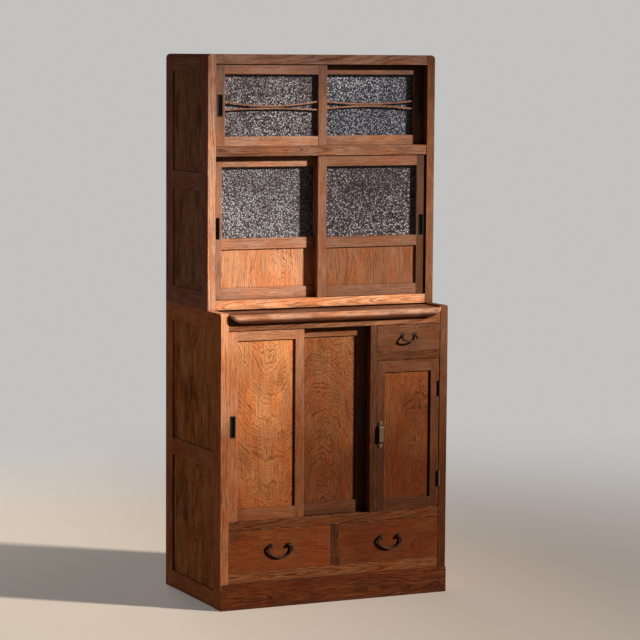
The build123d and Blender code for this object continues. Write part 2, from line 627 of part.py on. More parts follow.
def make_sliding_doors():
    """The three pairs of sliding doors."""
    small_opening = (-OPENING_X, OPENING_X, SMALL_DOOR_BASE, SMALL_DOOR_TOP)
    tall_opening = (-OPENING_X, OPENING_X, TALL_DOOR_BASE, TALL_DOOR_TOP)
    cupboard_opening = (-OPENING_X, DIVIDER_LEFT_X, CUPBOARD_BASE, CUPBOARD_TOP)
    small_layout = [(RAIL, SMALL_DOOR_RAIL), (GLASS, None), (RAIL, SMALL_DOOR_RAIL)]
    tall_layout = [
        (RAIL, TALL_DOOR_BOTTOM_RAIL), (PANEL, TALL_DOOR_PANEL_FIELD),
        (RAIL, TALL_DOOR_MIDDLE_RAIL), (GLASS, None), (RAIL, TALL_DOOR_TOP_RAIL),
    ]
    cupboard_layout = [(RAIL, CUPBOARD_DOOR_BOTTOM_RAIL), (PANEL, None), (RAIL, CUPBOARD_DOOR_TOP_RAIL)]
    small_middle = (SMALL_DOOR_BASE + SMALL_DOOR_TOP) / 2
    bar_heights = {
        "left": (
            (LEFT_UPPER_BAR_ENDS, LEFT_UPPER_BAR_MIDDLE), (LEFT_LOWER_BAR_ENDS, LEFT_LOWER_BAR_MIDDLE),
        ),
        "right": (
            (RIGHT_UPPER_BAR_ENDS, RIGHT_UPPER_BAR_MIDDLE), (RIGHT_LOWER_BAR_ENDS, RIGHT_LOWER_BAR_MIDDLE),
        ),
    }

    for word, side in (("left", -1), ("right", 1)):
        is_left = side < 0
        name = f"{word}_small_door"
        members, panels, clear, face_y = sliding_door(
            name, side, small_opening, is_left, UPPER_RAIL_Y, small_layout
        )
        bars = [
            curved_bar(*clear, face_y, small_middle + ends, small_middle + mid)
            for ends, mid in bar_heights[word]
        ]
        save(f"{name}_frame", *members, *bars)
        save(f"{name}_glass", *panels)

        name = f"{word}_tall_door"
        members, panels, clear, face_y = sliding_door(
            name, side, tall_opening, not is_left, UPPER_RAIL_Y, tall_layout
        )
        save(f"{name}_frame", *members)
        save(f"{name}_panel", panels[0])
        save(f"{name}_glass", panels[1])

        name = f"{word}_cupboard_door"
        members, panels, clear, face_y = sliding_door(
            name, side, cupboard_opening, is_left, LOWER_RAIL_Y, cupboard_layout
        )
        save(f"{name}_frame", *members)
        save(f"{name}_panel", *panels)


# ---------------------------------------------------------------- hinged door
def make_hinged_door():
    """The framed door right of the divider, on two butt hinges, with a fixed handle."""
    x0, x1 = DIVIDER_RIGHT_X + HINGED_DOOR_GAP, HINGED_DOOR_RIGHT_X
    z0, z1 = CUPBOARD_BASE + HINGED_DOOR_GAP, HINGED_DOOR_TOP - HINGED_DOOR_GAP
    members, panels = framed_door(
        x0, x1, z0, z1, LOWER_RAIL_Y, HINGED_DOOR_THICKNESS, (HINGED_DOOR_STILE, HINGED_DOOR_STILE),
        [(RAIL, HINGED_DOOR_RAIL), (PANEL, None), (RAIL, HINGED_DOOR_RAIL)],
    )
    save("hinged_door_frame", *members)
    save("hinged_door_panel", *panels)
    save("hinged_door_pull", strap_pull(x0 + STRAP_FROM_EDGE, (z0 + z1) / 2 + STRAP_ABOVE_MIDDLE))
    lows = (z0 + HINGE_FROM_DOOR_END, z1 - HINGE_FROM_DOOR_END - HINGE_HEIGHT)
    save("hinge_case_leaves", *[hinge_leaf(low, on_door=False) for low in lows])
    save("hinge_door_leaves", *[hinge_leaf(low, on_door=True) for low in lows])


def hinge_leaf(low, on_door):
    """One leaf of a butt hinge. The case leaf holds the pin and the two outer knuckles."""
    side = -1 if on_door else 1
    near, far = HINGE_X + side * HINGE_LEAF_GAP / 2, HINGE_X + side * (HINGE_LEAF_GAP / 2 + HINGE_LEAF)
    x0, x1 = min(near, far), max(near, far)
    leaf = block(x0, x1, -HINGE_LEAF_GAP, HINGE_LEAF_DEPTH, low, low + HINGE_HEIGHT)
    third = HINGE_HEIGHT / 3
    half_gap = HINGE_LEAF_GAP / 2
    if on_door:
        spans = [(low + third + half_gap, low + 2 * third - half_gap)]
    else:
        spans = [(low, low + third - half_gap), (low + 2 * third + half_gap, low + HINGE_HEIGHT)]
    for z0, z1 in spans:
        leaf += block(x0, x1, HINGE_Y, 0, z0, z1)
        leaf += Pos(HINGE_X, HINGE_Y, (z0 + z1) / 2) * Cylinder(KNUCKLE_RADIUS, z1 - z0)
    middle = Pos(HINGE_X, HINGE_Y, low + HINGE_HEIGHT / 2)
    if on_door:
        return leaf - middle * Cylinder(HINGE_PIN_RADIUS + HINGE_PIN_GAP, HINGE_HEIGHT)
    return leaf + middle * Cylinder(HINGE_PIN_RADIUS, HINGE_HEIGHT)


def strap_pull(x, z):
    """The hinged door's fixed handle: a broad strap bent out of the face and back, nailed at its feet."""
    face = LOWER_RAIL_Y
    bend = math.radians(STRAP_BEND)
    lift = 2 * STRAP_BEND_RADIUS * (1 - math.cos(bend))
    rise = (STRAP_REACH - STRAP_THICKNESS / 2 - lift) / math.sin(bend)
    slope = 2 * STRAP_BEND_RADIUS * math.sin(bend) + rise * math.cos(bend)
    half = STRAP_GRIP / 2 + slope + STRAP_FOOT
    out, back = (STRAP_BEND_RADIUS, STRAP_BEND), (STRAP_BEND_RADIUS, -STRAP_BEND)
    steps = [STRAP_FOOT, out, rise, back, STRAP_GRIP, back, rise, out, STRAP_FOOT]
    plane = Plane(origin=(x, face, z), x_dir=(0, 0, 1), z_dir=(1, 0, 0))
    section = RectangleRounded(STRAP_WIDTH, STRAP_THICKNESS, STRAP_EDGE_RADIUS)
    strap = bent_rod(plane, (-half, STRAP_THICKNESS / 2), (1, 0), steps, section)
    front = Plane(origin=(x, face, z), x_dir=(0, 0, 1), z_dir=(0, -1, 0))
    strap &= extrude(front * SlotOverall(2 * half, STRAP_WIDTH), 2 * STRAP_REACH)
    for end in (-1, 1):
        nail_z = z + end * (half - STRAP_WIDTH / 2)
        nail = standing_out(STRAP_NAIL_RADIUS, face, STRAP_THICKNESS + STRAP_NAIL_HEAD, x, nail_z)
        strap += fillet(nail.edges().group_by(Axis.Y)[0], STRAP_NAIL_ROUNDING)
    return strap


# ---------------------------------------------------------------- drawers
def drawer(name, x0, x1, base, top):
    """A drawer front and the box behind it."""
    front_y = LOWER_RAIL_Y
    back_y = BACK_Y - DRAWER_BACK_GAP
    box_y = front_y + DRAWER_FRONT_THICKNESS
    left, right = x0 + DRAWER_SIDE_GAP, x1 - DRAWER_SIDE_GAP
    z0, z1 = base + RUN_GAP, top - DRAWER_TOP_GAP
    side_top = top - DRAWER_SIDE_DROP
    front = block(left, right, front_y, box_y, z0, z1)
    save(f"{name}_front", chamfer(front.faces().sort_by(Axis.Y)[0].edges(), EASED_EDGE))
    bottom_z = z0 + DRAWER_BOTTOM_RISE
    inner_left, inner_right = left + DRAWER_WALL, right - DRAWER_WALL
    save(
        f"{name}_box",
        block(left, inner_left, box_y, back_y, z0, side_top),
        block(inner_right, right, box_y, back_y, z0, side_top),
        block(inner_left, inner_right, back_y - DRAWER_WALL, back_y, z0, side_top),
        block(inner_left, inner_right, box_y, back_y - DRAWER_WALL, bottom_z, bottom_z + DRAWER_BOTTOM),
    )


def drawer_runners(x0, x1, base, left_wall, right_wall):
    """Two runners under a drawer and two guides beside it, from the walls next to it."""
    y0, y1 = LOWER_RAIL_Y + RAIL_DEPTH, BACK_Y
    bed = base - RUNNER_HEIGHT
    back_post_y = LOWER_DEPTH - POST_DEPTH
    guide_front, guide_back = POST_DEPTH, min(y1, back_post_y)
    return [
        block(x0, x0 + RUNNER_WIDTH, y0, y1, bed, base),
        block(x1 - RUNNER_WIDTH, x1, y0, y1, bed, base),
        block(left_wall, x0 + GUIDE_GAP, guide_front, guide_back, bed, base + GUIDE_HEIGHT),
        block(x1 - GUIDE_GAP, right_wall, guide_front, guide_back, bed, base + GUIDE_HEIGHT),
    ]


def bow_pull(x, z):
    """The small drawer's fixed handle: a rod bent out of the face and back, with two rosettes.

    Its arms lean away from each other. The rod starts inside the wood and is trimmed there."""
    face = LOWER_RAIL_Y
    half, reach = DRAWER_PULL_HALF_SPACING, DRAWER_PULL_REACH
    corner, bow = DRAWER_PULL_CORNER, DRAWER_PULL_BOW_RADIUS
    lean, droop = math.radians(DRAWER_PULL_SPREAD), math.radians(DRAWER_PULL_DROOP)
    overhang = half - corner * math.cos(lean) + (reach - corner * math.sin(lean) - bow) * math.tan(lean)
    turn = lean + math.asin(overhang * math.cos(lean) / (bow - corner))
    arm = (reach - corner * math.sin(lean) - bow + (bow - corner) * math.cos(turn)) / math.cos(lean)
    root = PULL_ROD_RADIUS
    degrees = math.degrees(turn)
    bend = (corner, degrees - 90 - DRAWER_PULL_SPREAD)
    steps = [root + arm, bend, (bow, -2 * degrees), bend, arm + root]
    heading = Vector(-math.sin(lean), math.cos(lean))
    start = Vector(-half, 0) - heading * root
    along, outwards = Vector(1, 0, 0), Vector(0, -math.cos(droop), -math.sin(droop))
    plane = Plane(origin=(x, face, z), x_dir=along, z_dir=along.cross(outwards))
    handle = bent_rod(plane, start, heading, steps, Circle(PULL_ROD_RADIUS))
    for end in (-half, half):
        handle += standing_out(ROSETTE_RADIUS, face, ROSETTE_THICKNESS, x + end, z)
    return handle - block(x - 2 * half, x + 2 * half, face, face + reach, z - 2 * half, z + 2 * half)


def swinging_handle(name, x, z):
    """Two eyes on plates, and the bail that hangs in them."""
    face = LOWER_RAIL_Y
    y = face - BAIL_STAND_OFF
    eyes = []
    for side in (-1, 1):
        eye_x = x + side * BAIL_EYE_HALF_SPACING
        eye = standing_out(EYE_PLATE_RADIUS, face, EYE_PLATE_THICKNESS, eye_x, z)
        eye += standing_out(EYE_SHANK_RADIUS, face, BAIL_STAND_OFF, eye_x, z)
        eye += lying(EYE_RADIUS, EYE_WIDTH, eye_x, y, z)
        eyes.append(eye - lying(BAIL_ROD_RADIUS + EYE_BORE_GAP, 2 * EYE_WIDTH, eye_x, y, z))
    save(f"{name}_handle_eyes", *eyes)
    save(f"{name}_handle", bail(x, y, z))


def bail(x, y, z):
    """A rod whose ends turn inwards through the eyes and whose middle hangs in a wide curve."""
    inner_end = BAIL_EYE_HALF_SPACING - BAIL_TAIL
    end = BAIL_HALF_WIDTH - BAIL_SHOULDER_RADIUS - inner_end
    across = BAIL_HALF_WIDTH - BAIL_CORNER_RADIUS
    drop = BAIL_DROP - BAIL_SHOULDER_RADIUS
    sag = (across ** 2 + drop ** 2 - BAIL_CORNER_RADIUS ** 2) / (2 * (drop - BAIL_CORNER_RADIUS))
    turn = math.degrees(math.asin(across / (sag - BAIL_CORNER_RADIUS)))
    shoulder = (BAIL_SHOULDER_RADIUS, 90)
    corner = (BAIL_CORNER_RADIUS, 90 - turn)
    plane = Plane(origin=(x, y, z), x_dir=(1, 0, 0), z_dir=(0, -1, 0))
    steps = [end, shoulder, corner, (sag, 2 * turn), corner, shoulder, end]
    return bent_rod(plane, (-inner_end, 0), (-1, 0), steps, Circle(BAIL_ROD_RADIUS))


def make_drawers():
    """The two large drawers at the bottom and the small one at the upper right."""
    left_opening = (-OPENING_X, -DRAWER_DIVIDER_X, BOTTOM_RAIL_TOP, LARGE_DRAWER_TOP)
    right_opening = (DRAWER_DIVIDER_X, OPENING_X, BOTTOM_RAIL_TOP, LARGE_DRAWER_TOP)
    small_opening = (DIVIDER_RIGHT_X, OPENING_X, SMALL_DRAWER_BASE, CUPBOARD_TOP)
    drawer("left_drawer", *left_opening)
    drawer("right_drawer", *right_opening)
    drawer("small_drawer", *small_opening)
    handle_z = BOTTOM_RAIL_TOP + BAIL_HEIGHT_IN_OPENING
    swinging_handle("left_drawer", sum(left_opening[:2]) / 2, handle_z)
    swinging_handle("right_drawer", sum(right_opening[:2]) / 2, handle_z)
    pull_z = (SMALL_DRAWER_BASE + CUPBOARD_TOP) / 2 + DRAWER_PULL_ABOVE_MIDDLE
    save("small_drawer_pull", bow_pull(sum(small_opening[:2]) / 2, pull_z))

    half = PARTITION_THICKNESS / 2
    save(
        "drawer_runners",
        *drawer_runners(*left_opening[:3], -PANEL_INNER_X, -half),
        *drawer_runners(*right_opening[:3], half, PANEL_INNER_X),
        *drawer_runners(*small_opening[:3], CUPBOARD_DIVIDER_X + half, PANEL_INNER_X),
    )


os.makedirs("parts", exist_ok=True)
make_side_frames()
make_lower_case()
make_upper_case()
make_sliding_doors()
make_hinged_door()
make_drawers()
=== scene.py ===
import math

import bpy
from bpy.props import FloatProperty, FloatVectorProperty, PointerProperty
from mathutils import Matrix, Vector


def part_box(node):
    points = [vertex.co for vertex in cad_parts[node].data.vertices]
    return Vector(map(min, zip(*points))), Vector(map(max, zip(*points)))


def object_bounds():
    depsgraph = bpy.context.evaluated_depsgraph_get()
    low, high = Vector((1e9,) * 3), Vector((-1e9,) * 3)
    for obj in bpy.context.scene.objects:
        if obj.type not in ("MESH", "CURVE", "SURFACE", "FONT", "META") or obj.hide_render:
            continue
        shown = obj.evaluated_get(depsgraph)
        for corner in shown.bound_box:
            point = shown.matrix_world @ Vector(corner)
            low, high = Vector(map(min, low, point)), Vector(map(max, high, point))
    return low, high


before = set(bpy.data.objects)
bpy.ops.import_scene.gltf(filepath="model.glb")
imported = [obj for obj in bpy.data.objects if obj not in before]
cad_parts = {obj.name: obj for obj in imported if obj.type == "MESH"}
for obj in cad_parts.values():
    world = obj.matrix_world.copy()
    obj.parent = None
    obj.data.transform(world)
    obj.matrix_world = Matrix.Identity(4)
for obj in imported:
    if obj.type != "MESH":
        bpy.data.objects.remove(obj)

bl_info = {
    "name": "Mizuya Kitchen Cabinet",
    "version": (1, 0, 0),
    "blender": (4, 5, 0),
    "location": "View3D > Sidebar > Cabinet",
    "description": "Finishes a two-case mizuya cabinet in old stained wood, grained glass and iron",
    "category": "Object",
}

CAD_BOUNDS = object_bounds()
CABINET_LOW, CABINET_HIGH = CAD_BOUNDS
CABINET_HEIGHT = CABINET_HIGH.z - CABINET_LOW.z

# How far from the ends of a frame its cross rails start, in metres
DOOR_STILE = 0.032
HINGED_STILE = 0.030
SIDE_POST = 0.058


# ---------------------------------------------------------------- settings
def colour(name, description, default):
    """A colour property, in linear light."""
    return FloatVectorProperty(
        name=name, description=description, subtype="COLOR", size=4, min=0.0, max=1.0,
        default=(*default, 1.0),
    )


def amount(name, description, default, high=1.0):
    """A plain number property."""
    return FloatProperty(name=name, description=description, default=default, min=0.0, max=high)


def length(name, description, default):
    """A property for a length in metres."""
    return FloatProperty(
        name=name, description=description, default=default, min=0.0, unit="LENGTH", precision=4
    )


class CabinetWoodSettings(bpy.types.PropertyGroup):
    """Stain, grain, wear and painted shade of the wood"""

    frame_light: colour("Upper Frame", "Stain of the upper posts, rails and stiles", (0.42, 0.205, 0.122))
    frame_dark: colour("Upper Frame Rings", "Growth rings of the upper frames", (0.070, 0.021, 0.010))
    base_light: colour("Lower Frame", "Stain of the lower posts, rails and stiles", (0.42, 0.182, 0.088))
    base_dark: colour("Lower Frame Rings", "Growth rings of the lower frames", (0.070, 0.018, 0.007))
    panel_light: colour("Panel", "Stain between the growth rings of the panels", (0.50, 0.192, 0.071))
    panel_dark: colour("Panel Rings", "Growth rings of the panels", (0.060, 0.015, 0.005))
    drawer_light: colour("Drawer", "Stain of the drawer fronts and the plinth", (0.36, 0.115, 0.036))
    drawer_dark: colour("Drawer Rings", "Growth rings of drawer fronts and plinth", (0.065, 0.017, 0.006))
    inner_light: colour("Inside", "Bare wood of boxes, boards and backs", (0.40, 0.27, 0.16))
    inner_dark: colour("Inside Rings", "Growth rings of the bare wood", (0.24, 0.14, 0.075))
    # Painted shade and dirty patches: this colour darkens corners, joints and recesses where shade falls.
    grime_and_shade: colour("Grime", "Dirt in corners and joints", (0.035, 0.018, 0.011))
    worn: colour("Worn Edge", "Wood where hands have rubbed the stain off", (0.50, 0.28, 0.17))
    # Painted shade: the front is painted darker at its foot and its top, around a pool of light.
    foot_darkening: amount("Foot Darkening", "How much darker the front is at the foot", 0.95)
    head_darkening: amount("Head Darkening", "How much darker the front is at the top", 0.90)
    edge_wear: amount("Edge Wear", "How strongly the edges are rubbed pale", 0.75)
    grime_and_shade_amount: amount("Grime Amount", "How strongly dirt shows in the corners", 0.75)
    gloss: amount("Gloss", "Shine of the wood that hands polish", 0.05)


class CabinetGlassSettings(bpy.types.PropertyGroup):
    """Grained glass of the upper doors"""

    # Painted reflection and glints: the warm ground paints wood seen through the glass, the cool ground the
    # dark room mirrored in it.
    warm_ground: colour("Warm Ground", "Between the grains that wood shows through", (0.036, 0.019, 0.022))
    cool_ground: colour("Cool Ground", "Between the grains of the other panes", (0.012, 0.012, 0.028))
    cool: colour("Cool Grain", "Grains of the glass that mirror the room", (0.95, 0.96, 1.0))
    warm: colour("Warm Grain", "Grains of the glass that mirror the wood", (0.80, 0.66, 0.56))
    grain_size: length("Grain Size", "Distance between the grains", 0.0057)
    clearness: amount("Clearness", "How much light passes through the glass", 0.12)
    sheen: amount("Sheen", "How strongly the glass mirrors what is in front of it", 0.10)


class CabinetMetalSettings(bpy.types.PropertyGroup):
    """Handles, pulls and hinges"""

    iron: colour("Iron", "Bail handles and their eyes", (0.038, 0.018, 0.011))
    bronze: colour("Bronze", "The small drawer's bow handle", (0.055, 0.032, 0.020))
    brass: colour("Dull Brass", "The hinged door's strap handle", (0.105, 0.064, 0.036))
    pull: colour("Pull", "Recessed finger pulls", (0.030, 0.021, 0.016))
    hinge: colour("Hinge", "Butt hinges", (0.10, 0.065, 0.038))
    metallic: amount("Metallic", "How bare the metal is under its patina", 0.85)


class CabinetStageSettings(bpy.types.PropertyGroup):
    """Floor, background, lamps and camera"""

    floor: colour("Floor", "Plain floor under the cabinet", (0.94, 0.79, 0.63))
    floor_shade: colour("Floor in Shade", "The floor's colour on the cabinet's right", (0.40, 0.33, 0.275))
    floor_bounce: colour("Floor Bounce", "What the floor throws back onto the cabinet", (0.10, 0.080, 0.060))
    background: colour("Background", "What is seen beyond the floor", (0.54, 0.535, 0.53))
    key: amount("Key Light", "Strength of the sun-like lamp from the right", 5.0, 20.0)
    key_colour: colour("Key Colour", "Colour of the sun-like lamp", (1.0, 0.955, 0.90))
    side: amount("Side Light", "Power of the large soft lamp on the left, in watts", 29.0, 2000.0)
    side_colour: colour("Side Colour", "Colour of the soft lamp on the left", (1.0, 0.93, 0.86))
    back: amount("Back Light", "Power of the large soft lamp behind, in watts", 60.0, 2000.0)
    ambient: amount("Ambient Light", "Strength of the light from all round", 0.03, 5.0)
    lens: FloatProperty(
        name="Lens", description="Focal length in millimetres on a 36 mm sensor",
        default=145.8, min=10.0, max=400.0,
    )


def settings(name):
    """One of the cabinet's groups of settings."""
    return getattr(bpy.context.scene, name)


# ---------------------------------------------------------------- building node trees
def connect(tree, value, socket):
    """Gives a socket its value, or links it if the value is another node's output."""
    if isinstance(value, bpy.types.NodeSocket):
        tree.links.new(value, socket)
    else:
        socket.default_value = value


def add_node(tree, kind, options=None, **inputs):
    """Adds a node. Inputs go by socket name, with an underscore for each space."""
    made = tree.nodes.new(kind)
    for name, value in (options or {}).items():
        setattr(made, name, value)
    for name, value in inputs.items():
        connect(tree, value, made.inputs[name.replace("_", " ")])
    return made


def calculate(tree, operation, *values):
    """A Math node's result."""
    made = add_node(tree, "ShaderNodeMath", {"operation": operation})
    for value, socket in zip(values, made.inputs):
        connect(tree, value, socket)
    return made.outputs["Value"]


def calculate_vector(tree, operation, *values, output="Vector"):
    """A Vector Math node's result."""
    made = add_node(tree, "ShaderNodeVectorMath", {"operation": operation})
    for value, socket in zip(values, made.inputs):
        connect(tree, value, socket)
    return made.outputs[output]


def product(tree, first, *others):
    """All the values multiplied."""
    for other in others:
        first = calculate(tree, "MULTIPLY", first, other)
    return first


def scaled(tree, vector, factor):
    """A vector or colour times a number."""
    made = add_node(tree, "ShaderNodeVectorMath", {"operation": "SCALE"}, Scale=factor)
    connect(tree, vector, made.inputs[0])
    return made.outputs["Vector"]


def separate(tree, vector):
    """A vector's parts, by the names X, Y and Z."""
    return add_node(tree, "ShaderNodeSeparateXYZ", None, Vector=vector).outputs


def combine(tree, x, y, z):
    """A vector of three parts."""
    return add_node(tree, "ShaderNodeCombineXYZ", None, X=x, Y=y, Z=z).outputs["Vector"]


MIX_SOCKETS = {"FLOAT": 0, "VECTOR": 1, "RGBA": 2}


def mix(tree, kind, factor, first, second, blend="MIX"):
    """One value over another. A Mix node has two inputs and an output for each kind of value."""
    made = add_node(tree, "ShaderNodeMix", {"data_type": kind, "blend_type": blend})
    order = MIX_SOCKETS[kind]
    connect(tree, factor, made.inputs["Factor"])
    connect(tree, first, made.inputs[2 * order + 2])
    connect(tree, second, made.inputs[2 * order + 3])
    return made.outputs[order]


def mix_colours(tree, factor, first, second, blend="MIX"):
    """One colour over another."""
    return mix(tree, "RGBA", factor, first, second, blend)


def ramp(tree, value, low, high, start=0.0, end=1.0):
    """Rises smoothly from start to end as value goes from low to high."""
    made = add_node(
        tree, "ShaderNodeMapRange", {"interpolation_type": "SMOOTHSTEP"},
        Value=value, From_Min=low, From_Max=high, To_Min=start, To_Max=end,
    )
    return made.outputs["Result"]


def noise(tree, vector, scale=1.0, detail=2.0, roughness=0.5):
    """Smooth noise about one half."""
    made = add_node(
        tree, "ShaderNodeTexNoise", None, Vector=vector, Scale=scale, Detail=detail, Roughness=roughness
    )
    return made.outputs["Fac"]


def new_group(name, inputs, outputs):
    """A shader node group with named sockets. Returns the tree, its inputs and its output node."""
    tree = bpy.data.node_groups.new(name, "ShaderNodeTree")
    for title, kind, default in inputs:
        socket = tree.interface.new_socket(title, in_out="INPUT", socket_type=kind)
        if default is not None:
            socket.default_value = default
    for title, kind in outputs:
        tree.interface.new_socket(title, in_out="OUTPUT", socket_type=kind)
    given = tree.nodes.new("NodeGroupInput").outputs
    made = tree.nodes.new("NodeGroupOutput").inputs
    return tree, given, made


def shared_group(name, build):
    """The shader node group of that name, built once."""
    return bpy.data.node_groups.get(name) or build(name)


def place_group(tree, name, build, **inputs):
    """Places a shared node group in a material."""
    made = tree.nodes.new("ShaderNodeGroup")
    made.node_tree = shared_group(name, build)
    for title, value in inputs.items():
        connect(tree, value, made.inputs[title.replace("_", " ")])
    return made.outputs


FLOAT, VECTOR, COLOUR = "NodeSocketFloat", "NodeSocketVector", "NodeSocketColor"
GREY = (0.5, 0.5, 0.5, 1.0)


# ---------------------------------------------------------------- shared effects
SIDE_FACING = (0.5, 0.8)            # share of a face's normal along X between which it becomes a side face


def build_member_turn(name):
    """Turns the coordinates of a frame's cross rails, so that the grain always runs along Z.

    The rails lie between Low and High on the X axis. Tone is 1 on the rails, First on the upright
    before Low and Last on the one past High."""
    tree, given, made = new_group(
        name,
        [
            ("Vector", VECTOR, None), ("Low", FLOAT, -1.0), ("High", FLOAT, 1.0),
            ("First", FLOAT, 1.0), ("Last", FLOAT, 1.0),
        ],
        [("Vector", VECTOR), ("Tone", FLOAT)],
    )
    parts = separate(tree, given["Vector"])
    past_low = calculate(tree, "GREATER_THAN", parts["X"], given["Low"])
    before_high = calculate(tree, "LESS_THAN", parts["X"], given["High"])
    past_high = calculate(tree, "GREATER_THAN", parts["X"], given["High"])
    rail = product(tree, past_low, before_high)
    along_rail = combine(tree, parts["Z"], parts["Y"], parts["X"])
    connect(tree, mix(tree, "VECTOR", rail, given["Vector"], along_rail), made["Vector"])
    upright = mix(tree, "FLOAT", past_high, given["First"], given["Last"])
    connect(tree, mix(tree, "FLOAT", rail, upright, 1.0), made["Tone"])
    return tree


def side_facing(tree):
    """1 on faces that look along X, to the cabinet's sides, and 0 on its front, back and top."""
    normal = add_node(tree, "ShaderNodeTexCoord").outputs["Normal"]
    across = separate(tree, normal)["X"]
    return ramp(tree, calculate(tree, "ABSOLUTE", across), *SIDE_FACING)


def build_painted_side_shade(name):
    """Painted shade: the faces that look to the cabinet's sides are painted darker than its front."""
    tree, given, made = new_group(
        name, [("Color", COLOUR, GREY), ("Coat", COLOUR, GREY)], [("Color", COLOUR)]
    )
    side_shaded = mix_colours(tree, side_facing(tree), given["Color"], given["Coat"], "MULTIPLY")
    connect(tree, side_shaded, made["Color"])
    return tree


SEED_STEP = (0.31, 0.57, 0.83)      # metres in the log between two boards whose seeds differ by 1
AMBER = (1.0, 0.70, 0.48, 1.0)      # multiplies the stain where it glows
PALE = (1.55, 1.62, 1.70, 1.0)      # multiplies it where it is thin

# Noises that bend the rings: how many clouds a metre holds across and along the grain, their detail and
# roughness, and the input that sets how far they bend, with a factor
SIDEWAYS_BENDS = ((7.0, 3.2, 1.0, 0.5, "Wander", 4.0), (30.0, 17.0, 1.0, 0.5, "Flame", 4.0))
DEPTH_BENDS = (
    (5.0, 4.4, 1.0, 0.5, "Wander", 5.0),
    (28.0, 12.0, 1.0, 0.5, "Flame", 7.0),
    (85.0, 26.0, 2.0, 0.6, "Flame", 3.0),
)

# The noise that makes some years wider: its scale, and how many rings it moves
YEAR_SCALE = 0.31
YEAR_SWING = 1.8


def stretched(tree, place, across, along, detail=1.0, roughness=0.5):
    """Noise whose clouds are 1 / across metres wide and 1 / along metres long."""
    vector = calculate_vector(tree, "MULTIPLY", place, (across, across, along))
    return noise(tree, vector, detail=detail, roughness=roughness)


def swung(tree, base, value, reach, size=1.0):
    """base + (value - 0.5) * reach * size"""
    centred = calculate(tree, "MULTIPLY", calculate(tree, "SUBTRACT", value, 0.5), size)
    return calculate(tree, "MULTIPLY_ADD", centred, reach, base)


def bent(tree, given, place, distance, bends):
    """A distance from the pith, bent by noises."""
    for across, along, detail, roughness, reach, size in bends:
        wave = stretched(tree, place, across, along, detail, roughness)
        distance = swung(tree, distance, wave, given[reach], size)
    return distance


def growth_rings(tree, given, place):
    """How many rings lie between the pith and each point of the board. Some years are wider."""
    parts = separate(tree, given["Vector"])
    sideways = calculate(tree, "SUBTRACT", parts["X"], given["Centre"])
    sideways = bent(tree, given, place, sideways, SIDEWAYS_BENDS)
    below = calculate(tree, "MULTIPLY_ADD", parts["Z"], given["Lean"], given["Flare"])
    below = bent(tree, given, place, calculate(tree, "ADD", below, parts["Y"]), DEPTH_BENDS)
    squares = calculate(tree, "MULTIPLY_ADD", below, below, product(tree, sideways, sideways))
    rings = calculate(tree, "DIVIDE", calculate(tree, "SQRT", squares), given["Spacing"])
    years = add_node(
        tree, "ShaderNodeTexNoise", {"noise_dimensions": "1D"}, W=rings, Scale=YEAR_SCALE, Detail=1.0
    )
    return swung(tree, rings, years.outputs["Fac"], YEAR_SWING)


def ring_lines(tree, given, place, rings):
    """1 on the dark late wood of each ring, fainter on some rings and broken along them."""
    within = calculate(tree, "FRACT", rings)
    ring_number = calculate(tree, "ADD", calculate(tree, "FLOOR", rings), given["Seed"])
    chance = add_node(tree, "ShaderNodeTexWhiteNoise", {"noise_dimensions": "1D"}, W=ring_number)
    return product(
        tree,
        ramp(tree, within, 0.38, 0.76),
        ramp(tree, within, 0.84, 1.0, 1.0, 0.0),
        ramp(tree, chance.outputs["Value"], 0.0, 0.9, 0.50, 1.0),
        ramp(tree, stretched(tree, place, 300.0, 34.0), 0.34, 0.56, 0.6, 1.0),
        ramp(tree, stretched(tree, place, 36.0, 10.0, 2.0), 0.34, 0.56, 0.45, 1.0),
        given["Lines"],
    )


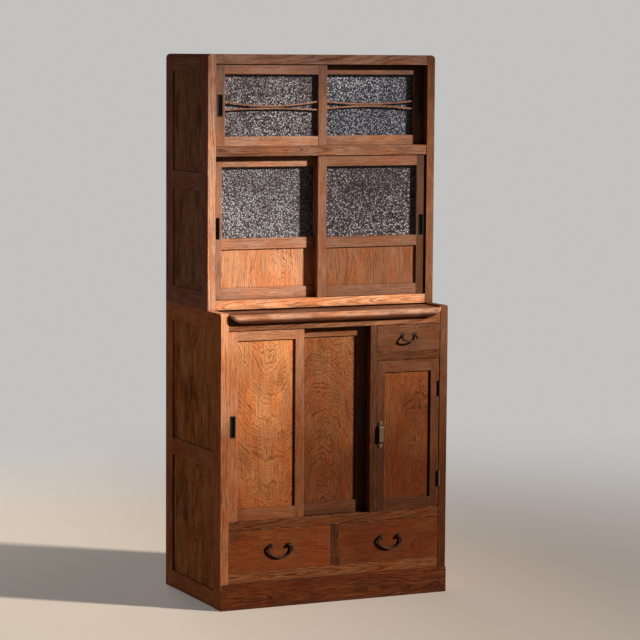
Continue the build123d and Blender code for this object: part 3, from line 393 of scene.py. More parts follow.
def build_old_wood(name):
    """Stained wood cut from a log: rings about a leaning pith, fibres, pores and clouds of stain.

    The grain runs along Z and the face looks along Y. Flare is the pith's depth at Z = 0 and Lean how
    fast it changes along the board, which draws the arches. Wander bends the pith, Flame breaks the
    arches into points, Lines is how dark the rings are and Mottle how blotched the stain is."""
    tree, given, made = new_group(
        name,
        [
            ("Vector", VECTOR, None), ("Light", COLOUR, GREY), ("Dark", COLOUR, GREY),
            ("Centre", FLOAT, 0.0), ("Flare", FLOAT, 0.05), ("Lean", FLOAT, 0.05),
            ("Spacing", FLOAT, 0.006), ("Wander", FLOAT, 0.01), ("Flame", FLOAT, 0.002),
            ("Lines", FLOAT, 0.7), ("Mottle", FLOAT, 0.6), ("Seed", FLOAT, 0.0),
        ],
        [("Color", COLOUR), ("Roughness", FLOAT), ("Height", FLOAT)],
    )
    place = calculate_vector(tree, "ADD", given["Vector"], scaled(tree, SEED_STEP, given["Seed"]))
    line = ring_lines(tree, given, place, growth_rings(tree, given, place))
    cloud = stretched(tree, place, 16.0, 6.0, 3.0, 0.6)
    streak = stretched(tree, place, 250.0, 18.0, 4.0, 0.65)
    fibre = stretched(tree, place, 520.0, 16.0, 2.0, 0.6)
    glow = stretched(tree, place, 24.0, 9.0, 2.0)
    pores = ramp(tree, stretched(tree, place, 760.0, 44.0), 0.58, 0.70)

    tone = mix_colours(tree, ramp(tree, glow, 0.40, 0.66, 0.0, 0.7), given["Light"], AMBER, "MULTIPLY")
    shine = product(tree, ramp(tree, streak, 0.50, 0.28), given["Mottle"])
    tone = mix_colours(tree, shine, tone, PALE, "MULTIPLY")
    for dark_mark in (
        product(tree, ramp(tree, cloud, 0.42, 0.76, 0.0, 0.8), given["Mottle"]),
        product(tree, ramp(tree, streak, 0.46, 0.74, 0.0, 0.8), given["Mottle"]),
        line,
        ramp(tree, fibre, 0.42, 0.75, 0.0, 0.45),
        product(tree, pores, 0.55),
    ):
        tone = mix_colours(tree, dark_mark, tone, given["Dark"])
    connect(tree, tone, made["Color"])
    rough = calculate(tree, "MULTIPLY_ADD", line, 0.08, ramp(tree, cloud, 0.3, 0.7, 0.40, 0.56))
    connect(tree, rough, made["Roughness"])
    grooves = calculate(tree, "MULTIPLY_ADD", line, -0.6, product(tree, fibre, 0.35))
    connect(tree, calculate(tree, "SUBTRACT", grooves, product(tree, pores, 0.3)), made["Height"])
    return tree


# Painted shade: the front is painted darker towards the foot and the head, around a pool of light.
FOOT_HEIGHTS = (0.35, 1.07)         # metres between which the foot's darkness fades out
HEAD_HEIGHTS = (1.33, 1.81)         # metres between which the head's darkness sets in
PATCH_REACH = 0.5                   # how far patches of the wood move these heights
FOOT_TINT = (0.28, 0.205, 0.155, 1.0)
HEAD_TINT = (0.30, 0.31, 0.37, 1.0)
SIDE_SHARE = 0.15                   # how much of that darkness side faces take
EDGE_RADIUS = 0.0035
CORNER_REACH = 0.03


def darker_ends(tree, given, patches):
    """The group's colour with painted shade: darker towards the cabinet's foot and head, where a pool of
    light fades.
    """
    height = swung(tree, separate(tree, given["Vector"])["Z"], patches, PATCH_REACH)
    front = calculate(tree, "MULTIPLY_ADD", side_facing(tree), SIDE_SHARE - 1.0, 1.0)
    foot = product(tree, ramp(tree, height, *FOOT_HEIGHTS, 1.0, 0.0), given["Foot Darkening"], front)
    head = product(tree, ramp(tree, height, *HEAD_HEIGHTS), given["Head Darkening"], front)
    base = mix_colours(tree, foot, given["Color"], FOOT_TINT, "MULTIPLY")
    return mix_colours(tree, head, base, HEAD_TINT, "MULTIPLY")


def rubbed_edges(tree, given, open_side):
    """1 along outward edges, with breaks."""
    rounded = add_node(tree, "ShaderNodeBevel", {"samples": 6}, Radius=EDGE_RADIUS).outputs["Normal"]
    true_normal = add_node(tree, "ShaderNodeNewGeometry").outputs["True Normal"]
    facing = calculate_vector(tree, "DOT_PRODUCT", rounded, true_normal, output="Value")
    return product(
        tree,
        ramp(tree, facing, 0.80, 0.99, 1.0, 0.0),
        ramp(tree, open_side, 0.75, 0.95),
        ramp(tree, noise(tree, given["Vector"], scale=38.0, detail=3.0), 0.42, 0.62),
        given["Edge Wear"],
    )


def build_wear_and_painted_shade(name):
    """Pale edges rubbed by years of use, and painted light and shade: a darker foot and head, and a dark
    colour with dirty patches in the corners.
    """
    tree, given, made = new_group(
        name,
        [
            ("Color", COLOUR, GREY), ("Vector", VECTOR, None), ("Grime", COLOUR, GREY),
            ("Worn", COLOUR, GREY), ("Foot Darkening", FLOAT, 0.3), ("Head Darkening", FLOAT, 0.3),
            ("Grime Amount", FLOAT, 0.7), ("Edge Wear", FLOAT, 0.4),
        ],
        [("Color", COLOUR), ("Dirt And Shade", FLOAT)],
    )
    patches = noise(tree, given["Vector"], scale=6.0, detail=3.0)
    # Painted shade: ambient occlusion finds corners and recesses, and the dark colour is laid there, broken
    # by dirty patches.
    corner = add_node(tree, "ShaderNodeAmbientOcclusion", {"samples": 8}, Distance=CORNER_REACH)
    open_side = corner.outputs["AO"]
    base = darker_ends(tree, given, patches)
    base = mix_colours(tree, rubbed_edges(tree, given, open_side), base, given["Worn"])
    dirt_and_shade = product(
        tree,
        ramp(tree, open_side, 0.25, 0.92, 1.0, 0.0),
        ramp(tree, patches, 0.3, 0.7, 0.6, 1.0),
        given["Grime Amount"],
    )
    connect(tree, mix_colours(tree, dirt_and_shade, base, given["Grime"]), made["Color"])
    connect(tree, dirt_and_shade, made["Dirt And Shade"])
    return tree


def glass_grains(tree, given, fineness, least):
    """Round grains, each painted as bright a glint as chance makes it. Returns their glints, their domes and
    their hues.
    """
    scale = calculate(tree, "DIVIDE", fineness, given["Size"])
    cells = add_node(tree, "ShaderNodeTexVoronoi", None, Vector=given["Vector"], Scale=scale).outputs
    chances = add_node(tree, "ShaderNodeSeparateColor", None, Color=cells["Color"]).outputs
    caught = calculate(tree, "ADD", chances["Red"], given["Amount"])
    dome = ramp(tree, cells["Distance"], 0.10, 0.55, 1.0, 0.0)
    return product(tree, dome, ramp(tree, caught, least, least + 0.34)), dome, chances["Green"]


def build_glass_grain(name):
    """Pressed glass full of small grains, with painted glints where some of them catch the light."""
    tree, given, made = new_group(
        name,
        [
            ("Vector", VECTOR, None), ("Ground", COLOUR, GREY), ("Cool", COLOUR, GREY),
            ("Warm", COLOUR, GREY), ("Size", FLOAT, 0.006), ("Amount", FLOAT, 0.5),
        ],
        [("Color", COLOUR), ("Roughness", FLOAT), ("Height", FLOAT)],
    )
    large, dome, hue = glass_grains(tree, given, 1.0, 0.65)
    small, small_dome, _ = glass_grains(tree, given, 1.9, 0.80)
    # Painted glints: the brightest grains stand for light caught on the glass.
    painted_glint = calculate(tree, "MAXIMUM", large, product(tree, small, 0.6))
    drift = noise(tree, given["Vector"], scale=5.0, detail=2.0)
    painted_glint = product(tree, painted_glint, ramp(tree, drift, 0.3, 0.7, 0.45, 1.0))
    tint = mix_colours(tree, ramp(tree, hue, 0.65, 1.0), given["Cool"], given["Warm"])
    connect(tree, mix_colours(tree, painted_glint, given["Ground"], tint), made["Color"])
    connect(tree, ramp(tree, dome, 0.0, 1.0, 0.34, 0.16), made["Roughness"])
    connect(tree, calculate(tree, "MULTIPLY_ADD", small_dome, 0.4, dome), made["Height"])
    return tree


PIT_COLOUR = (0.012, 0.009, 0.008, 1.0)
POLISH_COLOUR = (0.8, 0.62, 0.46, 1.0)


def build_patina(name):
    """Uneven old metal: darker where it is pitted, lighter where hands polish it."""
    tree, given, made = new_group(
        name,
        [("Vector", VECTOR, None), ("Metal", COLOUR, GREY), ("Pitting", FLOAT, 0.5)],
        [("Color", COLOUR), ("Roughness", FLOAT), ("Height", FLOAT)],
    )
    fine = noise(tree, given["Vector"], scale=420.0, detail=3.0, roughness=0.65)
    slow = noise(tree, given["Vector"], scale=70.0, detail=2.0)
    pits = product(tree, ramp(tree, fine, 0.45, 0.75), given["Pitting"])
    rubbed = ramp(tree, slow, 0.4, 0.7, 0.0, 0.35)
    polished = mix_colours(tree, rubbed, given["Metal"], POLISH_COLOUR, "SOFT_LIGHT")
    connect(tree, mix_colours(tree, pits, polished, PIT_COLOUR), made["Color"])
    rough = calculate(tree, "MULTIPLY_ADD", pits, 0.3, ramp(tree, slow, 0.3, 0.7, 0.62, 0.48))
    connect(tree, rough, made["Roughness"])
    connect(tree, fine, made["Height"])
    return tree


# ---------------------------------------------------------------- materials
def new_material(name):
    """A material. Returns it with its tree, its shader and the object coordinates."""
    material = bpy.data.materials.new(name)
    material.use_nodes = True
    tree = material.node_tree
    shader = tree.nodes["Principled BSDF"]
    place = add_node(tree, "ShaderNodeTexCoord").outputs["Object"]
    return material, tree, shader, place


def raise_surface(tree, shader, height, strength, distance):
    """Feeds a height to the shader's normal."""
    bump = add_node(tree, "ShaderNodeBump", None, Strength=strength, Distance=distance, Height=height)
    connect(tree, bump.outputs["Normal"], shader.inputs["Normal"])


WOOD_RELIEF = (0.35, 0.0006)        # strength of the bumps, and their depth in metres
GLASS_RELIEF = (0.5, 0.0006)
METAL_DEPTH = 0.0004
GLASS_IOR = 1.5
TONE_POWERS = (1.0, 1.10, 1.15)     # of red, green and blue: a higher tone makes the colour paler, too
GRAIN_TURNS = {"x": ("Z", "Y", "X"), "y": ("Z", "X", "Y"), "side": ("Y", "X", "Z")}
# Painted shade below a height, on the moulding's lower half
UNDERSIDE_SHADE_TINT = (0.24, 0.16, 0.13, 1.0)
UNDERSIDE_SHADE_BLEND = 0.006


def toned(stain, tone):
    """The stain, lighter and paler or darker and redder by its tone, which holds the piece's own shade of
    wood and painted light and shade.
    """
    return (*(part * tone ** power for part, power in zip(stain, TONE_POWERS)), 1.0)


def turned(tree, place, turn):
    """The coordinates with the grain's direction along Z and the depth of the board along Y."""
    parts = separate(tree, place)
    return combine(tree, *(parts[axis] for axis in GRAIN_TURNS[turn]))


def painted_underside_shade(tree, place, stained, height):
    """Painted shade: the stain, darker below a height, as on the shaded lower half of the moulding."""
    up = separate(tree, place)["Z"]
    underside = ramp(tree, up, height - UNDERSIDE_SHADE_BLEND, height + UNDERSIDE_SHADE_BLEND, 1.0, 0.0)
    return mix_colours(tree, underside, stained, UNDERSIDE_SHADE_TINT, "MULTIPLY")


def wood(
    name, stain, turn=None, rails=None, tone=1.0, uprights=(1.0, 1.0), side_coat=None, dull_below=None,
    matt=False, **cut,
):
    """A wood material. turn is "x" or "y" for grain along X or Y, and "side" for a side frame, whose
    rails run along Y. rails is the span across which cross rails lie, and uprights how light the
    uprights before and past them are against them, partly painted light and shade. tone makes the
    board lighter or darker, partly as its own wood and partly as painted light and shade,
    side_coat paints shade onto its side faces, and dull_below is a height below which
    shade is painted. cut holds the board's own Centre, Flare, Lean, Spacing, Wander, Flame, Lines,
    Mottle and Seed."""
    material, tree, shader, place = new_material(name)
    look = settings("cabinet_wood")
    vector = turned(tree, place, turn) if turn else place
    if rails:
        member = place_group(
            tree, "Member Turn", build_member_turn, Vector=vector, Low=rails[0], High=rails[1],
            First=uprights[0], Last=uprights[1],
        )
        vector = member["Vector"]
    light, dark = (toned(getattr(look, f"{stain}_{shade}"), tone) for shade in ("light", "dark"))
    grain = place_group(tree, "Old Wood", build_old_wood, Vector=vector, Light=light, Dark=dark, **cut)
    stained = grain["Color"]
    if rails:
        stained = scaled(tree, stained, member["Tone"])
    if dull_below:
        stained = painted_underside_shade(tree, place, stained, dull_below)
    # Painted shade on the faces that look to the sides, darker than the front.
    if side_coat:
        side_shade = place_group(tree, "Side Coat", build_painted_side_shade, Color=stained, Coat=(*side_coat, 1.0))
        stained = side_shade["Color"]
    # Painted light and shade: a darker foot and head and a dark colour in corners, besides real rubbed
    # edges.
    worn_and_shaded = place_group(
        tree, "Wear And Painted Shade", build_wear_and_painted_shade, Color=stained, Vector=place, Grime=look.grime_and_shade, Worn=look.worn,
        Foot_Darkening=look.foot_darkening, Head_Darkening=look.head_darkening,
        Grime_Amount=look.grime_and_shade_amount, Edge_Wear=look.edge_wear,
    )
    connect(tree, worn_and_shaded["Color"], shader.inputs["Base Color"])
    rough = calculate(tree, "MULTIPLY_ADD", worn_and_shaded["Dirt And Shade"], 0.25, grain["Roughness"])
    connect(tree, rough, shader.inputs["Roughness"])
    shader.inputs["Specular IOR Level"].default_value = 0.0 if matt else look.gloss
    raise_surface(tree, shader, grain["Height"], *WOOD_RELIEF)
    return material


def grained_glass(name, ground, grains):
    """Pressed glass with painted glints. ground is its painted colour between the grains, and grains how
    many of them are painted as glints.
    """
    material, tree, shader, place = new_material(name)
    look = settings("cabinet_glass")
    made = place_group(
        tree, "Glass Grain", build_glass_grain, Vector=place, Ground=getattr(look, ground),
        Cool=look.cool, Warm=look.warm, Size=look.grain_size, Amount=grains,
    )
    connect(tree, made["Color"], shader.inputs["Base Color"])
    connect(tree, made["Roughness"], shader.inputs["Roughness"])
    shader.inputs["Transmission Weight"].default_value = look.clearness
    shader.inputs["Specular IOR Level"].default_value = look.sheen
    shader.inputs["IOR"].default_value = GLASS_IOR
    raise_surface(tree, shader, made["Height"], *GLASS_RELIEF)
    return material


# Each metal's colour setting, its pitting and the strength of its bumps
METALS = {
    "Forged Iron": ("iron", 0.5, 0.35),
    "Old Bronze": ("bronze", 0.45, 0.25),
    "Dark Copper": ("pull", 0.6, 0.25),
    "Dull Brass": ("brass", 0.4, 0.25),
    "Tarnished Brass": ("hinge", 0.6, 0.25),
}


def old_metal(name):
    """One of the hand-worked metals."""
    material, tree, shader, place = new_material(name)
    look = settings("cabinet_metal")
    tint, pitting, strength = METALS[name]
    made = place_group(
        tree, "Patina", build_patina, Vector=place, Metal=getattr(look, tint), Pitting=pitting
    )
    connect(tree, made["Color"], shader.inputs["Base Color"])
    connect(tree, made["Roughness"], shader.inputs["Roughness"])
    shader.inputs["Metallic"].default_value = look.metallic
    raise_surface(tree, shader, made["Height"], strength, METAL_DEPTH)
    return material


def finish_node(node, material):
    """Gives a CAD node its material."""
    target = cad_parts[node]
    target.data.materials.clear()
    target.data.materials.append(material)


# ---------------------------------------------------------------- pieces
def span(node, axis, inset=0.0):
    """The lowest and highest place of a node on an axis, drawn in by inset at both ends."""
    low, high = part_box(node)
    return low[axis] + inset, high[axis] - inset


def middle(node, axis):
    """The middle of a node on an axis."""
    low, high = span(node, axis)
    return (low + high) / 2


def arches(node, along, flare, lean, aside=0.0):
    """Centre, Flare and Lean of a front board with the pith flare behind its face at one end.

    The arches point away from that end: to the far end where lean is positive."""
    low, high = span(node, along)
    start = low if lean > 0 else high
    face = span(node, 1)[0]
    across = 2 - along
    return {"Centre": middle(node, across) + aside, "Flare": flare - lean * start - face, "Lean": lean}


def title_of(node):
    """A node's name in plain words."""
    return node.replace("_", " ").title()


def finish_wood(node, stain, turn=None, **values):
    """Gives a wooden node a material of its own."""
    finish_node(node, wood(title_of(node), stain, turn, **values))


CUTS = {
    "side_frame": {
        "Centre": 0.3, "Flare": 0.16, "Lean": 0.03, "Spacing": 0.0042, "Wander": 0.003, "Flame": 0.0006,
        "Lines": 0.6, "Mottle": 0.42,
    },
    "side_panel": {
        "Flare": 0.32, "Lean": 0.05, "Spacing": 0.0065, "Wander": 0.020, "Flame": 0.0030, "Lines": 0.7,
        "Mottle": 0.9,
    },
    "rail": {"Spacing": 0.0038, "Wander": 0.004, "Flame": 0.0007, "Lines": 0.70, "Mottle": 0.42},
    "divider": {
        "Flare": 0.32, "Lean": 0.03, "Spacing": 0.0045, "Wander": 0.004, "Lines": 0.55, "Mottle": 0.7,
    },
    "ledge": {
        "Centre": 0.9, "Flare": 0.3, "Lean": 0.05, "Spacing": 0.0055, "Wander": 0.008, "Lines": 0.6,
        "Mottle": 0.8,
    },
    "plinth": {"Spacing": 0.0060, "Wander": 0.008, "Lines": 0.9, "Mottle": 0.9},
    "door_frame": {
        "Flare": 0.3, "Lean": 0.03, "Spacing": 0.0042, "Wander": 0.003, "Flame": 0.0006, "Lines": 0.6,
        "Mottle": 0.40,
    },
    "door_panel": {"Wander": 0.010, "Flame": 0.0040, "Lines": 0.78, "Mottle": 0.25},
    "large_drawer": {"Spacing": 0.0060, "Wander": 0.007, "Lines": 0.5, "Mottle": 0.45},
    "small_drawer": {"Spacing": 0.0036, "Wander": 0.007, "Lines": 0.8, "Mottle": 0.45},
    "inside": {
        "Centre": 0.05, "Flare": 0.4, "Lean": 0.03, "Spacing": 0.0070, "Wander": 0.010, "Lines": 0.5,
        "Mottle": 0.4,
    },
}
DIVIDER_ASIDE = 0.03                # metres from the middle of the piece to the pith of its log
DOOR_FRAME_ASIDE = 0.5

# Each piece's stain and tone, then the values that its function names, and last its seed
# A tone is partly the piece's own shade of wood and partly painted light and shade:
# pieces on the left, in a pool of light, are lighter, those on the right and those in shadow darker.
SIDE_FRAMES = {
    "upper_left_side_frame": ("frame", 2.35, (0.31, 0.255, 0.29), 3.6),
    "upper_right_side_frame": ("base", 0.88, (0.75, 0.65, 0.65), 6.2),
    "lower_left_side_frame": ("base", 2.90, (0.41, 0.305, 0.265), 4.6),
    "lower_right_side_frame": ("base", 0.77, (1.00, 0.90, 0.85), 7.2),
}
SIDE_PANELS = {"upper_side_panels": ("frame", 0.72, 7.9), "lower_side_panels": ("panel", 1.04, 8.9)}
RAILS = {
    "upper_top_rail": ("frame", 1.45, {"flare": 0.09, "lean": 0.03, "aside": 0.02}, 3.1),
    "upper_shelf_rail": ("frame", 1.03, {"flare": 0.006, "lean": 0.034, "aside": 0.003}, 4.3),
    "upper_bottom_rail": ("base", 2.80, {"flare": 0.008, "lean": -0.036, "aside": -0.004}, 5.9),
    "lower_top_rail": ("base", 1.06, {"flare": 0.06, "lean": 0.04, "aside": 0.01}, 6.4),
    "lower_middle_rail": ("base", 1.20, {"flare": 0.05, "lean": 0.05, "aside": 0.02}, 7.7),
    "drawer_door_rail": ("base", 0.47, {"flare": 0.05, "lean": 0.05, "aside": 0.02}, 8.2),
    "lower_bottom_rail": ("base", 1.70, {"flare": 0.007, "lean": 0.036, "aside": 0.002}, 9.6),
}
DIVIDERS = {"cupboard_divider": ("base", 0.47, 10.3), "drawer_divider": ("base", 0.75, 11.1)}
LEDGE_PIECES = {
    "lower_top_board": ("frame", 1.05, 12.5),
    "top_moulding": ("frame", 2.10, 13.9),
    "upper_top_board": ("frame", 1.20, 15.2),
}
PLINTH = ("drawer", 1.15, {"flare": 0.010, "lean": 0.05, "aside": -0.01}, 17.0)
DOOR_FRAMES = {
    "left_small_door": ("frame", 1.80, DOOR_STILE, (0.75, 0.66), 23.3),
    "right_small_door": ("frame", 1.40, DOOR_STILE, (1.0, 0.8), 26.6),
    "left_tall_door": ("frame", 1.75, DOOR_STILE, (0.72, 1.0), 29.9),
    "right_tall_door": ("frame", 0.90, DOOR_STILE, (1.1, 0.45), 33.2),
    "left_cupboard_door": ("base", 2.05, DOOR_STILE, (1.35, 0.86), 36.5),
    "right_cupboard_door": ("base", 0.97, DOOR_STILE, (1.0, 1.0), 39.8),
    "hinged_door": ("base", 0.70, HINGED_STILE, (0.8, 1.1), 41.0),
}
DOOR_PANELS = {
    "left_tall_door": ("base", 2.34, {"flare": 0.03, "lean": 0.30, "aside": 0.03}, 0.0050, 31.0),
    "right_tall_door": ("base", 1.00, {"flare": 0.02, "lean": 0.20, "aside": -0.06}, 0.0048, 34.3),
    "left_cupboard_door": ("panel", 2.45, {"flare": 0.05, "lean": -0.40, "aside": 0.02}, 0.0052, 37.6),
    "right_cupboard_door": ("panel", 1.00, {"flare": 0.03, "lean": 0.34, "aside": -0.01}, 0.0055, 40.9),
    "hinged_door": ("drawer", 1.20, {"flare": 0.03, "lean": 0.26, "aside": 0.045}, 0.0052, 43.5),
}
DRAWER_FRONTS = {
    "left": ("drawer", 1.72, {"flare": 0.05, "lean": 0.05, "aside": 0.045}, "large_drawer", 51.0),
    "right": ("drawer", 1.30, {"flare": 0.02, "lean": -0.09, "aside": -0.02}, "large_drawer", 53.0),
    "small": ("base", 0.66, {"flare": 0.06, "lean": 0.03, "aside": 0.06}, "small_drawer", 57.0),
}

# Each inner piece's direction of grain and its seed
INSIDE = {
    "upper_inner_boards": ("x", 61.0), "lower_inner_boards": ("x", 62.0), "drawer_runners": ("y", 63.0),
    "upper_back": (None, 64.0), "lower_back": (None, 65.0), "left_drawer_box": ("y", 66.0),
    "right_drawer_box": ("y", 67.0), "small_drawer_box": ("y", 68.0),
}

# Each pane's painted ground, and how many of its grains are painted as glints
PANES = {
    "left_small_door": ("warm_ground", 0.60), "right_small_door": ("cool_ground", 0.62),
    "left_tall_door": ("warm_ground", 0.98), "right_tall_door": ("warm_ground", 0.42),
}
SIDES = ("left", "right")
SLIDING_DOORS = ("small_door", "tall_door", "cupboard_door")


def finish_side_frames():
    """Posts, rails and panels of both sides of both cases. A frame's third value is the painted shade of its
    side faces.
    """
    for node, (stain, tone, side_shade, seed) in SIDE_FRAMES.items():
        finish_wood(
            node, stain, "side", rails=span(node, 1, SIDE_POST), tone=tone, side_coat=side_shade, matt=True,
            Seed=seed, **CUTS["side_frame"],
        )
    for node, (stain, tone, seed) in SIDE_PANELS.items():
        finish_wood(
            node, stain, "side", tone=tone, matt=True, Centre=middle(node, 1), Seed=seed,
            **CUTS["side_panel"],
        )


def finish_front_rails():
    """Rails, dividers, top boards, moulding and plinth."""
    for node, (stain, tone, board, seed) in RAILS.items():
        finish_wood(
            node, stain, "x", tone=tone, matt=True, Seed=seed, **arches(node, 0, **board), **CUTS["rail"]
        )
    for node, (stain, tone, seed) in DIVIDERS.items():
        centre = middle(node, 0) + DIVIDER_ASIDE
        finish_wood(node, stain, tone=tone, Centre=centre, Seed=seed, **CUTS["divider"])
    for node, (stain, tone, seed) in LEDGE_PIECES.items():
        # The moulding keeps its sheen, and its lower half is painted darker, where shade falls.
        worn_and_shaded = node == "top_moulding"
        finish_wood(
            node, stain, "x", tone=tone, matt=not worn_and_shaded, Seed=seed, **CUTS["ledge"],
            dull_below=middle(node, 2) if worn_and_shaded else None,
        )
    node = "plinth_board"
    stain, tone, board, seed = PLINTH
    plinth = wood("Plinth", stain, "x", tone=tone, Seed=seed, **arches(node, 0, **board), **CUTS["plinth"])
    finish_node(node, plinth)


def finish_door(door):
    """A door's straight-grained frame and, where it has one, its panel with arches.

    A frame's third and fourth value are the width and the lightness of its stiles, a lightness that is
    partly painted light and shade, and a panel's fourth is the distance between its rings."""
    node = f"{door}_frame"
    stain, tone, stile, uprights, seed = DOOR_FRAMES[door]
    finish_wood(
        node, stain, rails=span(node, 0, stile), tone=tone, uprights=uprights,
        Centre=middle(node, 0) + DOOR_FRAME_ASIDE, Seed=seed, **CUTS["door_frame"],
    )
    if door in DOOR_PANELS:
        node = f"{door}_panel"
        stain, tone, board, spacing, seed = DOOR_PANELS[door]
        finish_wood(
            node, stain, tone=tone, Spacing=spacing, Seed=seed, **arches(node, 2, **board),
            **CUTS["door_panel"],
        )


def finish_sliding_doors():
    """Frames and wood panels of the three pairs of sliding doors."""
    for kind in SLIDING_DOORS:
        for side in SIDES:
            finish_door(f"{side}_{kind}")


def finish_drawers():
    """Drawer fronts."""
    for word, (stain, tone, board, cut, seed) in DRAWER_FRONTS.items():
        node = f"{word}_drawer_front"
        finish_wood(node, stain, "x", tone=tone, Seed=seed, **arches(node, 0, **board), **CUTS[cut])


def finish_inside():
    """Boxes, boards, runners and backs in bare wood."""
    for node, (turn, seed) in INSIDE.items():
        finish_wood(node, "inner", turn, Seed=seed, **CUTS["inside"])


def finish_glass():
    """Panes of the upper doors."""
    for door, (ground, grains) in PANES.items():
        node = f"{door}_glass"
        finish_node(node, grained_glass(title_of(node), ground, grains))


def finish_handles():
    """Bails with their eyes, finger pulls, the small drawer's bow and the hinged door's strap."""
    iron = old_metal("Forged Iron")
    copper = old_metal("Dark Copper")
    for side in SIDES:
        finish_node(f"{side}_drawer_handle", iron)
        finish_node(f"{side}_drawer_handle_eyes", iron)
        for kind in SLIDING_DOORS:
            finish_node(f"{side}_{kind}_pull", copper)
    finish_node("small_drawer_pull", old_metal("Old Bronze"))
    finish_node("hinged_door_pull", old_metal("Dull Brass"))


def finish_hinges():
    """Butt hinges of the hinged door."""
    tarnished = old_metal("Tarnished Brass")
    finish_node("hinge_case_leaves", tarnished)
    finish_node("hinge_door_leaves", tarnished)


# ---------------------------------------------------------------- stage
FLOOR_RADIUS = 40.0
FLOOR_BLEND = (0.8, 4.0)            # metres from the cabinet over which the floor turns into background
FLOOR_SHADING = (-0.9, 1.4)         # where on the X axis the floor turns from bright to shaded
FLOOR_GLOW = 0.2                    # share of the background's plain light in the floor near the cabinet
FLOOR_CORNERS = 96
KEY_DIRECTION = Vector((1.20, -1.0, 0.62))
KEY_DISTANCE = 4.0
KEY_SOFTNESS = math.radians(4.0)
SIDE_LAMP_PLACE = Vector((-4.5, 0.4, 1.0))
BACK_LAMP_PLACE = Vector((0.6, 5.0, 2.4))
SOFT_LAMP_SIZE = 2.0
CAMERA_PLACE = Vector((-3.599, -7.8159, 1.795))
CAMERA_YAW = math.radians(25.0)
CAMERA_PITCH = math.radians(-5.88)
CAMERA_ROLL = math.radians(0.39)
SENSOR_WIDTH = 36.0                 # millimetres
CAMERA_REACH = 200.0                # metres


def seen_directly(tree):
    """1 for rays from the camera, and for those off metal or through glass."""
    path = add_node(tree, "ShaderNodeLightPath").outputs
    seen = calculate(tree, "MAXIMUM", path["Is Camera Ray"], path["Is Glossy Ray"])
    return calculate(tree, "MAXIMUM", seen, path["Is Transmission Ray"])


def mix_shaders(tree, factor, first, second):
    """One shader node over another."""
    made = add_node(tree, "ShaderNodeMixShader")
    for value, socket in zip((factor, first.outputs[0], second.outputs[0]), made.inputs):
        connect(tree, value, socket)
    return made.outputs[0]


def make_floor():
    """A wide plain floor that fades into the background."""
    look = settings("cabinet_stage")
    bpy.ops.mesh.primitive_circle_add(
        vertices=FLOOR_CORNERS, radius=FLOOR_RADIUS, fill_type="NGON", location=(0, 0, 0)
    )
    floor = bpy.context.object
    floor.name = "Floor"
    material = bpy.data.materials.new("Floor")
    material.use_nodes = True
    tree = material.node_tree
    tree.nodes.remove(tree.nodes["Principled BSDF"])
    place = add_node(tree, "ShaderNodeTexCoord").outputs["Object"]
    away = calculate_vector(tree, "LENGTH", place, output="Value")
    fade = ramp(tree, away, *FLOOR_BLEND, FLOOR_GLOW, 1.0)
    seen = seen_directly(tree)
    shade = ramp(tree, separate(tree, place)["X"], *FLOOR_SHADING)
    tint = mix_colours(tree, shade, look.floor, look.floor_shade)
    tint = mix_colours(tree, seen, look.floor_bounce, tint)
    plain = add_node(tree, "ShaderNodeBsdfDiffuse", None, Color=tint)
    beyond = add_node(tree, "ShaderNodeEmission", None, Color=look.background)
    blended = mix_shaders(tree, product(tree, fade, seen), plain, beyond)
    connect(tree, blended, tree.nodes["Material Output"].inputs["Surface"])
    floor.data.materials.append(material)


def make_world():
    """Soft light from all round, and the plain background."""
    look = settings("cabinet_stage")
    world = bpy.data.worlds.new("Studio")
    bpy.context.scene.world = world
    world.use_nodes = True
    tree = world.node_tree
    tree.nodes.clear()
    light = add_node(tree, "ShaderNodeBackground", None, Color=(1.0, 1.0, 1.0, 1.0), Strength=look.ambient)
    seen = add_node(tree, "ShaderNodeBackground", None, Color=look.background)
    blended = mix_shaders(tree, seen_directly(tree), light, seen)
    output = add_node(tree, "ShaderNodeOutputWorld")
    connect(tree, blended, output.inputs["Surface"])


def make_lamp(name, kind, place, aim, **values):
    """A lamp at place that shines at aim."""
    data = bpy.data.lights.new(name, kind)
    for key, value in values.items():
        setattr(data, key, value)
    lamp = bpy.data.objects.new(name, data)
    bpy.context.scene.collection.objects.link(lamp)
    lamp.location = place
    lamp.rotation_euler = (Vector(aim) - Vector(place)).to_track_quat("-Z", "Y").to_euler()


def make_lamps():
    """A sun-like key from the right and large soft lamps on the left and behind."""
    look = settings("cabinet_stage")
    chest = Vector((0, 0, CABINET_HEIGHT / 2))
    soft = {"shape": "DISK", "size": SOFT_LAMP_SIZE}
    make_lamp(
        "Key", "SUN", chest + KEY_DIRECTION * KEY_DISTANCE, chest,
        energy=look.key, angle=KEY_SOFTNESS, color=look.key_colour[:3],
    )
    make_lamp("Side", "AREA", SIDE_LAMP_PLACE, chest, energy=look.side, color=look.side_colour[:3], **soft)
    make_lamp("Back", "AREA", BACK_LAMP_PLACE, chest, energy=look.back, **soft)


def make_camera():
    """The camera, in front of the cabinet and to its left."""
    data = bpy.data.cameras.new("Camera")
    data.lens = settings("cabinet_stage").lens
    data.sensor_width = SENSOR_WIDTH
    data.clip_end = CAMERA_REACH
    camera = bpy.data.objects.new("Camera", data)
    bpy.context.scene.collection.objects.link(camera)
    turn = (
        Matrix.Rotation(-CAMERA_YAW, 4, "Z")
        @ Matrix.Rotation(math.pi / 2 + CAMERA_PITCH, 4, "X")
        @ Matrix.Rotation(CAMERA_ROLL, 4, "Z")
    )
    camera.matrix_world = Matrix.Translation(CAMERA_PLACE) @ turn
    bpy.context.scene.camera = camera


def show_plain_colours():
    """Colours in the picture as they are written."""
    bpy.context.scene.view_settings.view_transform = "Standard"


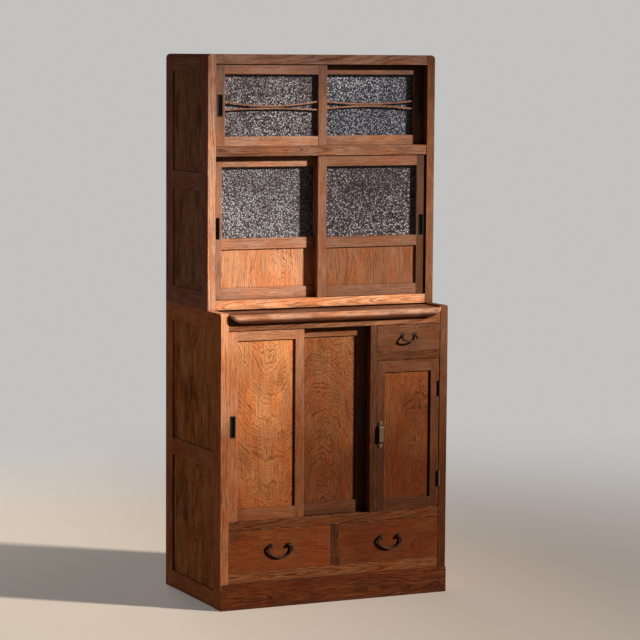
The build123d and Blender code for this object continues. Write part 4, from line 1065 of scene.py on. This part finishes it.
# ---------------------------------------------------------------- operators
class CABINET_OT_side_frames(bpy.types.Operator):
    """Finish the side frames and side panels of both cases"""

    bl_idname = "cabinet.side_frames"
    bl_label = "Side Frames"

    def execute(self, context):
        finish_side_frames()
        return {"FINISHED"}


class CABINET_OT_front_rails(bpy.types.Operator):
    """Finish the rails, dividers, ledge, moulding and plinth"""

    bl_idname = "cabinet.front_rails"
    bl_label = "Rails and Ledge"

    def execute(self, context):
        finish_front_rails()
        return {"FINISHED"}


class CABINET_OT_sliding_doors(bpy.types.Operator):
    """Finish the frames and panels of the sliding doors"""

    bl_idname = "cabinet.sliding_doors"
    bl_label = "Sliding Doors"

    def execute(self, context):
        finish_sliding_doors()
        return {"FINISHED"}


class CABINET_OT_hinged_door(bpy.types.Operator):
    """Finish the frame and panel of the hinged door"""

    bl_idname = "cabinet.hinged_door"
    bl_label = "Hinged Door"

    def execute(self, context):
        finish_door("hinged_door")
        return {"FINISHED"}


class CABINET_OT_drawers(bpy.types.Operator):
    """Finish the drawer fronts"""

    bl_idname = "cabinet.drawers"
    bl_label = "Drawer Fronts"

    def execute(self, context):
        finish_drawers()
        return {"FINISHED"}


class CABINET_OT_inside(bpy.types.Operator):
    """Finish the drawer boxes, inner boards, runners and backs"""

    bl_idname = "cabinet.inside"
    bl_label = "Inside and Back"

    def execute(self, context):
        finish_inside()
        return {"FINISHED"}


class CABINET_OT_glass(bpy.types.Operator):
    """Finish the panes of the upper doors"""

    bl_idname = "cabinet.glass"
    bl_label = "Glass"

    def execute(self, context):
        finish_glass()
        return {"FINISHED"}


class CABINET_OT_handles(bpy.types.Operator):
    """Finish the bails, the bow, the strap and the finger pulls"""

    bl_idname = "cabinet.handles"
    bl_label = "Handles and Pulls"

    def execute(self, context):
        finish_handles()
        return {"FINISHED"}


class CABINET_OT_hinges(bpy.types.Operator):
    """Finish the butt hinges"""

    bl_idname = "cabinet.hinges"
    bl_label = "Hinges"

    def execute(self, context):
        finish_hinges()
        return {"FINISHED"}


class CABINET_OT_stage(bpy.types.Operator):
    """Make the floor, the background, the lamps and the camera"""

    bl_idname = "cabinet.stage"
    bl_label = "Stage"

    def execute(self, context):
        make_floor()
        make_world()
        make_lamps()
        make_camera()
        show_plain_colours()
        return {"FINISHED"}


OPERATORS = (
    CABINET_OT_side_frames, CABINET_OT_front_rails, CABINET_OT_sliding_doors, CABINET_OT_hinged_door,
    CABINET_OT_drawers, CABINET_OT_inside, CABINET_OT_glass, CABINET_OT_handles, CABINET_OT_hinges,
    CABINET_OT_stage,
)
SETTINGS = {
    "cabinet_wood": CabinetWoodSettings,
    "cabinet_glass": CabinetGlassSettings,
    "cabinet_metal": CabinetMetalSettings,
    "cabinet_stage": CabinetStageSettings,
}


class CABINET_PT_panel(bpy.types.Panel):
    """The cabinet's steps and settings"""

    bl_idname = "CABINET_PT_panel"
    bl_label = "Mizuya Cabinet"
    bl_space_type = "VIEW_3D"
    bl_region_type = "UI"
    bl_category = "Cabinet"

    def draw(self, context):
        for operator in OPERATORS:
            self.layout.operator(operator.bl_idname)
        for name, group in SETTINGS.items():
            box = self.layout.box()
            box.label(text=group.__doc__)
            for prop in group.__annotations__:
                box.prop(getattr(context.scene, name), prop)


def register():
    """Adds the settings, the operators and the panel."""
    for group in SETTINGS.values():
        bpy.utils.register_class(group)
    for name, group in SETTINGS.items():
        setattr(bpy.types.Scene, name, PointerProperty(type=group))
    for operator in OPERATORS:
        bpy.utils.register_class(operator)
    bpy.utils.register_class(CABINET_PT_panel)


def unregister():
    """Takes them away again."""
    bpy.utils.unregister_class(CABINET_PT_panel)
    for operator in reversed(OPERATORS):
        bpy.utils.unregister_class(operator)
    for name in SETTINGS:
        delattr(bpy.types.Scene, name)
    for group in SETTINGS.values():
        bpy.utils.unregister_class(group)


def main():
    """Registers the add-on and runs its operators in order."""
    register()
    for operator in OPERATORS:
        group, step = operator.bl_idname.split(".")
        getattr(getattr(bpy.ops, group), step)()
    bpy.context.view_layer.update()


if __name__ == "__main__":
    main()
